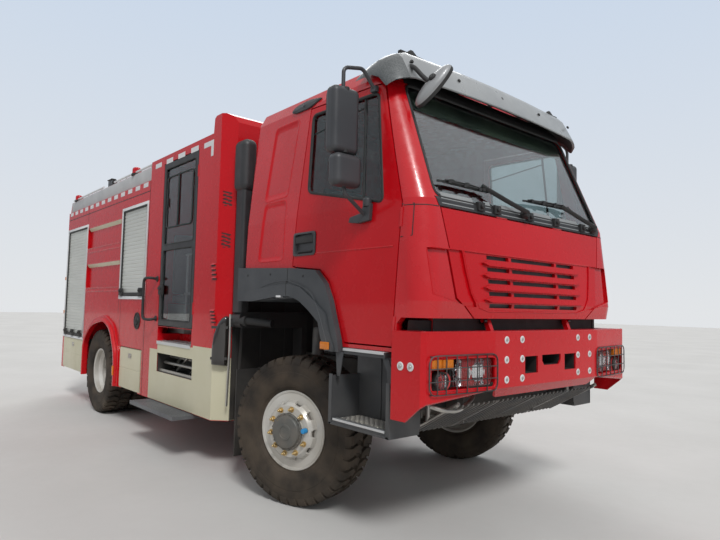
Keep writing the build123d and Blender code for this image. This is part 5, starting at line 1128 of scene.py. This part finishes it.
for side, word in ((-1, "right"), (1, "left")):
    y = side * 0.62
    shell = Form()
    shell.rows([[(x0, y - w, z), (x1, y - w, z), (x1, y + w, z), (x0, y + w, z)]
        for x0, x1, w, z in ((0.16, 0.54, 0.21, 1.642), (0.16, 0.54, 0.21, 1.70), (0.19, 0.50, 0.18, 1.715),
        (0.16, 0.54, 0.21, 1.735), (0.19, 0.50, 0.18, 1.755), (0.15, 0.55, 0.22, 1.775),
        (0.12, 0.56, 0.228, 1.800), (0.12, 0.56, 0.228, 1.858))], True, True)
    shell.prism(((0.062, 1.905), (0.092, 1.905), (0.050, 2.490), (0.014, 2.490)), "Y", y - 0.225, y + 0.225)
    shell.turned(((0.036, 0), (0.036, 0.05), (0.03, 0.055)), out_y(0.12, y + side * 0.225 + 0.03, 1.93), 20)
    for shift in (-0.06, 0.06):
        shell.tube([(0.055, y + shift, 2.45), (0.060, y + shift, 2.56)], 0.007, 10)
    shell.finish("cab_seat_shell_" + word, "cab", RUBBER, 0.012, 3, replaces=("seats",) if side < 0 else (),
        twin=False)
    seams = Form()
    lean = Matrix.Rotation(math.radians(-83.4), 4, "Y")
    for title, spot, half, channels in (("cushion", Matrix.Translation((0.345, y, 1.928)),
            (0.245, 0.165, 0.070), ((0, -0.25), (0, 0.3))),
            ("bolster_in", Matrix.Translation((0.345, y - 0.205, 1.936)), (0.245, 0.048, 0.064), ()),
            ("bolster_out", Matrix.Translation((0.345, y + 0.205, 1.936)), (0.245, 0.048, 0.064), ()),
            ("back", Matrix.Translation((0.113, y, 2.200)) @ lean, (0.285, 0.150, 0.050),
            ((0, -0.45), (0, 0.0), (0, 0.45))),
            ("wing_in", Matrix.Translation((0.121, y - 0.190, 2.190)) @ lean, (0.275, 0.046, 0.050), ()),
            ("wing_out", Matrix.Translation((0.121, y + 0.190, 2.190)) @ lean, (0.275, 0.046, 0.050), ()),
            ("headrest", Matrix.Translation((0.062, y, 2.592)) @ lean, (0.096, 0.145, 0.048), ())):
        rim = pad("cab_seat_" + title + "_" + word, "cab", spot, half, FABRIC, channels)
        seams.tube(rim, 0.0035, 6, closed=True)
    seams.finish("cab_seat_piping_" + word, "cab", RUBBER, slot="seat_fabric", twin=False)

bench = Form()
bench.box((-2.7695, -2.322), (-0.998, 0.998), (1.172, 1.496))
for index in range(4):
    y = -0.75 + index * 0.5
    bench.box((-2.324, -2.318), (y - 0.225, y + 0.225), (1.215, 1.455))
    bench.box((-2.320, -2.310), (y - 0.045, y + 0.045), (1.395, 1.415))
bench.finish("crew_bench_base", "chassis", TRIM_GREY, 0.006, replaces=("crew_seats",))
seams = Form()
for index in range(4):
    y = -0.75 + index * 0.5
    for title, spot, half, channels in (("cushion", Matrix.Translation((-2.520, y, 1.556)),
            (0.226, 0.240, 0.060), ((0, -0.3), (0, 0.3))), ("back", placed((-2.716, y, 1.965), -90, "Y"),
            (0.372, 0.240, 0.050), ((0, -0.5), (0, 0.0), (0, 0.5)))):
        rim = pad("crew_" + title + "_" + str(index + 1), "chassis", spot, half, FABRIC, channels)
        seams.tube(rim, 0.004, 6, closed=True)
seams.finish("crew_bench_piping", "chassis", RUBBER, slot="seat_fabric")

# Dashboard fittings
dash = Form()
dash.rows([[(x, y, z) for x, z in ((1.010, 2.105), (1.030, 2.160), (1.070, 2.225), (1.110, 2.228),
    (1.170, 2.165))] for y in (0.40, 0.43, 0.62, 0.81, 0.84)], False)
dash.box((0.985, 1.012), (-0.30, 0.22), (1.93, 2.075))
for y in (-0.90, -0.45, 0.30, 0.94):
    dash.turned(((0.050, 0.0), (0.050, 0.012), (0.042, 0.014), (0.040, 0.004), (0.0, 0.004)),
        placed((1.006, y, 2.075), -62, "Y"), 24)
dash.finish("dash_fittings", "cab", RUBBER, 0.003)
grip = Form(placed((0.900, 0.620, 2.150), -35, "Y"))
grip.tube(circle(0.225, 36), 0.0175, 12, closed=True)
grip.turned(((0.062, -0.012), (0.062, 0.018), (0.050, 0.027), (0.0, 0.030)), None, 32)
grip.finish("steering_grip", "steering_wheel", RUBBER)

# Windscreen border
screen_path = dense(ring_path(SCREEN, 0.07, 6))
frit = Form()
frit.rows([[on_front(p.x * across, 2.628 + (p.y - 2.628) * up, -0.0225) for p in screen_path]
    for across, up in ((1.0, 1.0), (0.962, 0.925))], True)
frit.finish("screen_border", "cab", RUBBER, smooth=False)

# Oval mirror ahead of the right corner
back = Vector((-0.05, -0.86, 0.50)).normalized()
along = Vector((0.42, 0.38, 0.74))
along = (along - back * along.dot(back)).normalized()
turn = Matrix((along, back.cross(along), back)).transposed().to_4x4()
place = Matrix.Translation((1.330, -0.965, 2.975)) @ turn


def oval(scale, lift, steps=48):
    """Ring of the oval mirror at a share of its size."""
    return [place @ Vector((0.172 * p.x, 0.070 * p.y, lift)) for p in circle(scale, steps)]


head = Form()
head.rows([oval(s, h) for s, h in ((0.02, 0.030), (0.4, 0.028), (0.7, 0.023), (0.88, 0.012), (0.97, 0.0),
    (1.0, -0.010), (1.0, -0.012))], True, True)
head.finish("oval_mirror_back", "cab", MIRROR_BACK, angle=60, replaces=("front_mirror",))
rim = Form()
rim.rows([oval(s, h) for s, h in ((1.0, -0.0115), (1.010, -0.014), (1.010, -0.032), (0.99, -0.037),
    (0.95, -0.034), (0.94, -0.012))], True, True)
rim.tube(rounded([(1.148, -0.985, 3.146), (1.215, -1.020, 3.110), (1.275, -0.990, 3.030),
    (1.322, -0.968, 2.985)], 0.04), 0.015, 12)
rim.turned(((0.026, 0.0), (0.026, 0.016), (0.018, 0.024)), place @ Matrix.Translation((0.03, 0.0, 0.022)), 20)
rim.turned(((0.022, 0.0), (0.022, 0.03), (0.014, 0.036)), Matrix.Translation((1.140, -0.985, 3.140)), 16)
rim.finish("oval_mirror_rim", "cab", RUBBER, angle=40)
Form().rows([oval(s, h) for s, h in ((0.95, -0.0345), (0.5, -0.0365), (0.02, -0.037))], True,
    True).finish("oval_mirror_glass", "cab", MIRROR)

# Mirror glasses and seams of the door mirrors
faces, trims = Form(), Form()
for x, z, half_z in ((0.945, 2.717, 0.195), (0.985, 2.383, 0.082)):
    path = ring_path([(x - 0.0555, -1.400 + a, z + b) for a, b in ((-0.088, -half_z), (0.088, -half_z),
        (0.088, half_z), (-0.088, half_z))], 0.03, 5)
    middle = Vector((x - 0.0555, -1.400, z))
    faces.rows([[middle + (p - middle) * s - Vector((lift, 0, 0)) for p in path] for s, lift in ((1.0, 0.0),
        (0.5, 0.0012), (0.01, 0.0015))], True)
    trims.tube(path, 0.005, 8, closed=True)
    path = ring_path([(x + 0.012, -1.400 + a, z + b) for a, b in ((-0.1070, -half_z - 0.022),
        (0.1070, -half_z - 0.022), (0.1070, half_z + 0.022), (-0.1070, half_z + 0.022))], 0.04, 6)
    trims.tube(path, 0.0022, 6, closed=True)
for z0, z1 in ((2.500, 2.545), (2.890, 2.935)):
    trims.turned(((0.021, 0.0), (0.024, 0.004), (0.024, z1 - z0 - 0.004), (0.021, z1 - z0)),
        Matrix.Translation((0.975, -1.400, z0)), 20)
faces.finish("door_mirror_glass_right", "cab_door_right", MIRROR)
trims.finish("door_mirror_trim_right", "cab_door_right", RUBBER)

# Flare: crease, split line, clip and marker
flare = Form()
line = rounded([(-0.300, 0, 1.652), (-0.085, 0, 1.700), (0.150, 0, 1.706), (0.420, 0, 1.620),
    (0.520, 0, 1.480), (0.640, 0, 1.230)], 0.16, 8)
flare.tube([Vector((p.x, -1.2398, p.z)) for p in line], 0.0026, 8)
flare.finish("flare_crease_right", "cab", SLATE)
split = Form()
split.box((0.088, 0.094), (-1.2412, -1.236), (1.588, 1.700))
split.box((0.088, 0.094), (-1.2292, -1.224), (1.690, 1.802))
for x, z in ((-0.52, 1.76), (-0.16, 1.76), (0.30, 1.735)):
    split.turned(((0.009, 0.0), (0.009, 0.003), (0.006, 0.0045), (0.0, 0.0045)), out_y(x, -1.2275, z), 14)
split.finish("flare_split_right", "cab", RUBBER, smooth=False)
Form().box((-0.045, 0.020), (-1.2425, -1.215), (1.574, 1.590)).finish("flare_clip_right", "cab", WHITE, 0.003)
Form().box((0.560, 0.658), (-1.2505, -1.238), (1.214, 1.266)).finish("flare_marker_right", "cab", AMBER,
    0.006, 3)

# Cab steps: tread strips, chequer plate and wall folds
treads = Form()
treads.box((0.765, 1.175), (-1.2045, -1.150), (1.2262, 1.2320))
for row in range(4):
    treads.box((0.770, 1.170), (-1.202 + row * 0.013, -1.196 + row * 0.013), (1.2315, 1.2345))
treads.box((0.765, 1.175), (-1.2065, -1.2005), (1.2160, 1.2330))
treads.box((0.700, 1.215), (-1.2235, -1.185), (0.7455, 0.7560))
treads.box((0.700, 1.215), (-1.2285, -1.2225), (0.7420, 0.7570))
treads.finish("cab_step_strips_right", "chassis", ALU, 0.001, 1)
plate = Form()
plate.box((0.700, 1.215), (-1.180, -0.985), (0.7455, 0.7500))
for row in range(9):
    for index in range(21):
        spot = placed((0.715 + index * 0.0243, -1.168 + row * 0.0215, 0.750), 45 if (index + row) % 2
            else -45, "Z")
        plate.box((-0.010, 0.010), (-0.0028, 0.0028), (0.0, 0.0028), spot)
plate.finish("cab_step_chequer_right", "chassis", STEEL, smooth=False)
folds = Form()
for x in (0.656, 1.230):
    folds.prism(((x - 0.004, 0.712), (x + 0.029, 0.712), (x + 0.029, 1.052), (x - 0.004, 1.052)), "Y",
        -1.2305, -1.2215)
folds.box((0.656, 1.255), (-1.2305, -1.2215), (0.712, 0.7285))
folds.box((0.905, 0.915), (-0.982, -0.974), (0.75, 1.19))
folds.prism(((1.130, 1.196), (1.190, 1.196), (1.225, 1.120), (1.228, 1.040), (1.185, 1.040), (1.180, 1.110)),
    "Y", -1.180, -1.172)
folds.prism(((0.690, 1.205), (0.770, 1.205), (0.740, 1.040), (0.705, 1.040)), "Y", -1.205, -1.197)
folds.finish("cab_step_folds_right", "chassis", SLATE, 0.003)

# Air duct by the arch: pipe and strap
duct = Form()
duct.tube(rounded([(-0.905, -1.118, 1.345), (-0.80, -1.150, 1.365), (-0.62, -1.120, 1.368),
    (-0.44, -1.02, 1.352)], 0.08), 0.034, 16)
duct.turned(((0.047, 0.0), (0.047, 0.03), (0.040, 0.034)), toward((-0.70, -1.136, 1.366),
    (-0.60, -1.12, 1.368)), 24)
duct.finish("duct_pipe_right", "chassis", RUBBER, twin=False)
strap = Form()
strap.tube(rounded([(-0.905, -1.175, 1.420), (-0.890, -1.180, 1.300), (-0.880, -1.1835, 1.10),
    (-0.905, -1.1835, 0.60)], 0.06), 0.008, 10, flat=1.4)
strap.finish("duct_strap_right", "chassis", STEEL, twin=False)

# Shock absorbers by the front axle
damper = Form()
damper.turned(((0.030, 0.0), (0.034, 0.02), (0.034, 0.24), (0.030, 0.25)), toward((-0.20, -0.715, 0.78),
    (-0.20, -0.70, 1.30)), 20)
damper.turned(((0.044, 0.0), (0.048, 0.01), (0.048, 0.29), (0.042, 0.31)), toward((-0.20, -0.708, 1.02),
    (-0.20, -0.70, 1.30)), 24)
damper.finish("damper_right", "chassis", ENGINE)
Form().turned(((0.049, 0.0), (0.0525, 0.002), (0.0525, 0.018), (0.049, 0.020)),
    toward((-0.20, -0.7075, 1.045), (-0.20, -0.70, 1.30)), 24).finish("damper_band_right", "chassis", BRASS)

# Rear lamps: lens on each square
for title, low, high, finish in (("amber", 0.870, 0.985, AMBER), ("red", 0.745, 0.860, RED_LENS),
        ("white", 0.620, 0.735, LENS)):
    lens = Form()
    lens.rows([[(REAR_X - 0.0438 - lift, p.x - 1.130, p.y + (low + high) / 2) for p in oblong(-a, a, -b, b,
        0.012)] for lift, a, b in ((-0.004, 0.050, 0.047), (0.004, 0.050, 0.047), (0.007, 0.045, 0.042),
        (0.0075, 0.020, 0.020))], True, True)
    lens.finish("rear_lamp_" + title + "_right", "chassis", finish, slot="lamp_lens")

# Rear shutter frame and latch, seams of the rear wall
frame_rear = Form()
for y0, y1, z0, z1 in ((-0.936, -0.900, 1.154, 2.656), (0.900, 0.936, 1.154, 2.656),
        (-0.900, 0.900, 2.620, 2.656), (-0.900, 0.900, 1.154, 1.190)):
    frame_rear.box((REAR_X - 0.013, REAR_X), (y0, y1), (z0, z1))
frame_rear.finish("rear_shutter_frame", "chassis", WHITE, 0.003)
latch = Form()
latch.box((REAR_X - 0.012, REAR_X + 0.014), (-0.88, 0.88), (1.196, 1.236))
for y in (-0.62, 0.0, 0.62):
    latch.box((REAR_X - 0.028, REAR_X - 0.004), (y - 0.055, y + 0.055), (1.202, 1.248))
    latch.box((REAR_X - 0.036, REAR_X - 0.014), (y - 0.030, y + 0.030), (1.232, 1.290))
for z0, z1, y0, y1 in ((2.812, 2.822, -1.2, 1.2), (1.02, 1.026, -1.2, 1.2)):
    latch.box((REAR_X - 0.0046, REAR_X), (y0, y1), (z0, z1))
latch.finish("rear_latch", "chassis", RUBBER, 0.003)
tape = Form()
for index in range(8):
    y = -1.155 + index * 0.30
    tape.box((REAR_X - 0.0056, REAR_X), (y, y + 0.21), (2.872, 2.926))
for side in (-1, 1):
    for index in range(4):
        tape.box((REAR_X - 0.0056, REAR_X), (side * 1.19 - 0.025, side * 1.19 + 0.025),
            (1.25 + index * 0.34, 1.47 + index * 0.34))
tape.finish("rear_reflectors", "chassis", WHITE, smooth=False)

# Roof deck: treads, hatches and two stowage boxes
deck = Form()
deck.box((-6.34, -2.93), (-1.10, 1.10), (2.9415, 2.9465))
for row in range(21):
    deck.box((-6.32, -2.95), (-1.08 + row * 0.108 - 0.004, -1.08 + row * 0.108 + 0.004), (2.946, 2.950))
deck.finish("roof_deck", "chassis", ALU, smooth=False)
hatch = Form()
for x in (-4.25, -5.05):
    hatch.turned(((0.29, 0.0), (0.29, 0.045), (0.27, 0.058), (0.10, 0.066), (0.0, 0.068)),
        Matrix.Translation((x, 0, 2.946)), 40)
    hatch.box((x + 0.28, x + 0.35), (-0.05, 0.05), (2.948, 2.995))
    hatch.tube(rounded([(x - 0.06, -0.06, 3.010), (x - 0.06, -0.06, 3.050), (x - 0.06, 0.06, 3.050),
        (x - 0.06, 0.06, 3.010)], 0.02), 0.008, 8)
hatch.finish("roof_hatches", "chassis", PALE, 0.003, slot="shutter_alu")
chest = Form()
chest.box((-6.20, -5.60), (-0.90, 0.90), (2.947, 3.080))
chest.box((-6.215, -5.585), (-0.915, 0.915), (3.055, 3.092))
chest.box((-3.80, -3.25), (-0.85, -0.25), (2.947, 3.070))
chest.box((-3.81, -3.24), (-0.86, -0.24), (3.048, 3.082))
chest.finish("roof_chests", "chassis", ALU, 0.006)

# Roof lamps
for x, title in ((-3.50, "front"), (-6.15, "rear")):
    spot = Matrix.Translation((x, -1.190, 3.1103))
    foot = Form(spot)
    foot.turned(((0.066, 0.0), (0.066, 0.020), (0.060, 0.027), (0.056, 0.030)), None, 32)
    foot.finish("beacon_foot_" + title + "_right", "chassis", RUBBER, replaces=("roof_lights",)
        if title == "front" else ())
    dome = Form(spot)
    dome.turned(((0.056, 0.028), (0.0565, 0.050), (0.0550, 0.053), (0.0560, 0.056), (0.0545, 0.084),
        (0.050, 0.096), (0.038, 0.106), (0.018, 0.1110), (0.0, 0.112)), None, 32)
    dome.finish("beacon_dome_" + title + "_right", "chassis", RED_LENS)
flood = Form()
flood.rows([[(x, y, 3.1103 + h) for y, h in ((-1.192, 0.018), (-1.178, 0.002), (-1.130, 0.002),
    (-1.130, 0.096), (-1.154, 0.118), (-1.210, 0.120), (-1.210, 0.112), (-1.194, 0.106))]
    for x in (-4.65, -4.45)], True, True)
flood.box((-4.66, -4.44), (-1.150, -1.120), (3.120, 3.134))
flood.finish("floodlight_case_right", "chassis", RUBBER, 0.004)
glass = Form()
for x0, x1 in ((-4.642, -4.554), (-4.546, -4.458)):
    glass.rows([[(a, y, 3.1103 + h) for a in (x0, x1)] for y, h in ((-1.1945, 0.028), (-1.1965, 0.050),
        (-1.1975, 0.085), (-1.1965, 0.100))])
glass.finish("floodlight_lens_right", "chassis", LENS)

# Guard bars and a cable under the bumper
bars = Form()
for side in (-1, 1):
    bars.tube(rounded([(1.495, side * 0.862, 0.928), (1.10, side * 0.862, 0.700),
        (1.07, side * 0.862, 0.690)], 0.03), 0.013, 10)
    bars.tube([(1.24, side * 0.862, 0.785), (1.24, side * 0.862, 1.00)], 0.016, 10)
bars.tube(rounded([(1.40, -1.02, 0.915), (1.46, -0.96, 0.890), (1.44, -0.80, 0.870), (1.35, -0.55, 0.905),
    (1.28, -0.435, 0.95)], 0.1, 6), 0.014, 12)
bars.finish("guard_side_bars", "chassis", STEEL)

# Painted shade: dark sheets behind the grille gap, tow openings and step recess, and a black guard plate
# before the crew cabin that also paints the shade inside the arch
dark = Form()
for side in (-1, 1):
    dark.box((1.4012, 1.4045), sorted((side * 0.470, side * 0.992)), (1.262, 1.600))
    dark.box((1.4012, 1.4045), sorted((side * 0.001, side * 0.470)), (1.372, 1.470))
    dark.box((1.4040, 1.4090), sorted((side * 0.976, side * 1.012)), (1.262, 1.470))
    dark.rows([[(x, side * y, z) for x, y, z in ((1.4045, 0.96, 1.270), (1.4045, 0.96, 1.440))],
        [(x, side * y, z) for x, y, z in ((1.300, 1.14, 1.290), (1.320, 1.14, 1.440))]])
dark.finish("nose_lining", "cab", RUBBER, smooth=False)
# painted shade: black boxes behind the bumper's tow openings
dark = Form()
dark.box((1.460, 1.466), (-0.420, 0.420), (1.030, 1.240))
for y0, y1, z0, z1 in ((-0.327, -0.173, 1.096, 1.209), (0.173, 0.327, 1.096, 1.209),
        (-0.12, 0.12, 1.141, 1.212)):
    for a0, a1, b0, b1 in ((y0 - 0.006, y0, z0, z1), (y1, y1 + 0.006, z0, z1), (y0, y1, z0 - 0.006, z0),
            (y0, y1, z1, z1 + 0.006)):
        dark.box((1.466, 1.6025), (a0, a1), (b0, b1))
dark.finish("bumper_lining", "chassis", RUBBER, smooth=False)
# painted shade: dark sheets lining the crew step recess
dark = Form()
dark.box((-2.3985, -1.5015), (-1.036, -1.031), (0.7675, 0.9655))
for z0, z1 in ((0.7665, 0.7700), (0.9630, 0.9665)):
    dark.box((-2.3985, -1.5015), (-1.244, -1.031), (z0, z1))
for x0, x1 in ((-2.3995, -2.3960), (-1.5040, -1.5005)):
    dark.box((x0, x1), (-1.244, -1.031), (0.7675, 0.9655))
dark.finish("crew_recess_lining_right", "chassis", RUBBER, smooth=False)
# black guard plate before the crew cabin, which also paints the shade inside the arch
guard = Form()
guard.box((-0.9515, -0.9450), (-1.128, 1.128), (0.462, 1.640))
for row in range(9):
    guard.box((-0.9455, -0.9400), (-1.10 + row * 0.2675, -1.07 + row * 0.2675), (0.50, 1.60))
guard.finish("cabin_front_guard", "chassis", RUBBER, 0.001, 1)

# Header panel between the screen and the visor
Form().rows([[on_front(y, z, 0.004) for y in [-0.99 + i * 0.066 for i in range(31)]]
    for z in (3.046, 3.085, 3.13, 3.178)]).finish("screen_header", "cab", RUBBER)

# Glossy corner duct of the intake
DUCT_LINE = ((-0.078, 0.962), (0.066, 0.950), (0.066, 1.390), (0.040, 1.404), (0.004, 1.380), (-0.034, 1.320),
    (-0.062, 1.230), (-0.076, 1.120))
out = placed((-0.956 - 0.0572, -SIDE_Y + 0.0572, 0), -45, "Z")
path = dense(ring_path(DUCT_LINE, 0.03, 4), 0.04)
middle = Vector((0.0, 1.17, 0))
duct = Form()
duct.rows([[out @ Vector((lift, (middle.x + (p.x - middle.x) * share),
    1.17 + (p.y - 1.17) * (1 - (1 - share) * 0.35))) for p in path] for share, lift in ((1.03, 0.002),
    (1.03, 0.046), (0.97, 0.060), (0.80, 0.071), (0.5, 0.078), (0.2, 0.080), (0.02, 0.080))], True, True)
for z in (1.02, 1.30):
    duct.box((0.060, 0.072), (-0.082, 0.072), (z - 0.012, z + 0.012), out)
duct.finish("corner_duct_right", "chassis", DUCT, angle=50, twin=False)

# Headlamp reflectors
CELLS = 4
bowl = Form()
rows = []
for row in range(7):
    line = []
    for t in (index / (CELLS * 6) for index in range(CELLS * 6 + 1)):
        deep = 0.018 * (1 - (2 * (t * CELLS % 1.0) - 1) ** 2) + 0.010 * (1 - (row / 3 - 1) ** 2)
        line.append(on_wing(-0.962 + t * 0.227, 1.052 + row * 0.0257, -0.026 - deep))
    rows.append(line)
bowl.rows(rows)
bowl.finish("headlamp_reflector_right", "chassis", CHROME)

# Skid guard in slats
skid = Form()
for side in (-1, 1):
    skid.prism(((1.480, 0.903), (1.490, 0.927), (1.085, 0.697), (1.085, 0.673)), "Y", side * 0.850,
        side * 0.870)
    skid.box((1.130, 1.190), sorted((side * 0.430, side * 0.442)), (0.715, 0.900))
for x in (0.0, 0.45, -0.45):
    skid.prism(((1.478, 0.898), (1.480, 0.912), (1.088, 0.690), (1.088, 0.676)), "Y", x - 0.012, x + 0.012)
for index in range(33):
    y = -0.848 + index * 0.053
    skid.prism(((1.474, 0.8995), (1.478, 0.9145), (1.089, 0.6905), (1.089, 0.676)), "Y", y - 0.008, y + 0.008)
skid.finish("skid_slats", "chassis", ENGINE, slot="frame_paint", smooth=False, replaces=("skid_guard",))

# Painted shade: dark sheets behind the wheels' hand holes, and one blue nut cap
for side, word in ((-1, "right"), (1, "left")):
    for place, title, plane, sign in zip(wheel_places(side), ("front", "rear"), (0.175, 0.0), (1, -1)):
        back = Form(place @ UPRIGHT)
        back.rows([circle(r, 64, plane - sign * deep) for r, deep in ((0.180, 0.020), (0.197, 0.042),
            (0.217, 0.086))], True)
        back.finish(title + "_hole_backs_" + word, "wheel_" + title + "_" + word, CHASSIS, twin=False)
cap = Form(wheel_places(-1)[0] @ UPRIGHT)
spot = circle(NUT_RING, 4 * NUTS, 0.176, -1)[0]
cap.turned(((0.0195, 0.0), (0.0195, 0.036), (0.0165, 0.043), (0.008, 0.0455), (0.0, 0.046)),
    Matrix.Translation(spot), 24)
cap.finish("nut_cap_right", "wheel_front_right", BLUE, twin=False)

# Foot of the door mirrors
foot = Form()
foot.prism(((0.800, 2.088), (0.900, 2.074), (1.012, 2.084), (1.022, 2.196), (0.958, 2.205), (0.925, 2.140),
    (0.815, 2.122)), "Y", -1.214, -1.1835)
foot.turned(((0.030, 0.0), (0.030, 0.05), (0.020, 0.058)), Matrix.Translation((0.985, -1.205, 2.178)), 20)
foot.finish("door_mirror_foot_right", "cab_door_right", GREY_PLASTIC, 0.005, 3, slot="mirror_grey")

# Shade behind the screen's top, pale seal around it
shade = Form()
shade.rows([[on_front(y, z, -0.034) for y in [-0.96 + i * 0.064 for i in range(31)]]
    for z in (2.862, 2.92, 2.98, 3.04)])
shade.rows([[on_front(y, z, -0.030) for y in [-0.96 + i * 0.064 for i in range(31)]] for z in (2.854, 2.862)])
shade.finish("screen_shade", "cab", OLIVE, 0.002, 1)
Form().tube([on_front(p.x, p.y, 0.0015) for p in screen_path], 0.0042, 6, closed=True).finish("screen_seal",
    "cab", PALE, slot="cream_paint")

# Rail and bar seen through the crew door's lower glass
rail = Form()
for x in (-2.30, -2.02, -1.74):
    rail.tube([(x, -0.985, 1.300), (x, -0.985, 2.060)], 0.012, 10)
for z in (1.62, 2.055):
    rail.tube([(-2.34, -0.985, z), (-1.70, -0.985, z)], 0.012, 10)
rail.finish("crew_guard_rail", "chassis", PALE)
Form().tube([(-2.08, -0.965, 1.330), (-1.84, -0.965, 2.20)], 0.018, 12).finish("crew_grab_bar", "chassis",
    YELLOW)
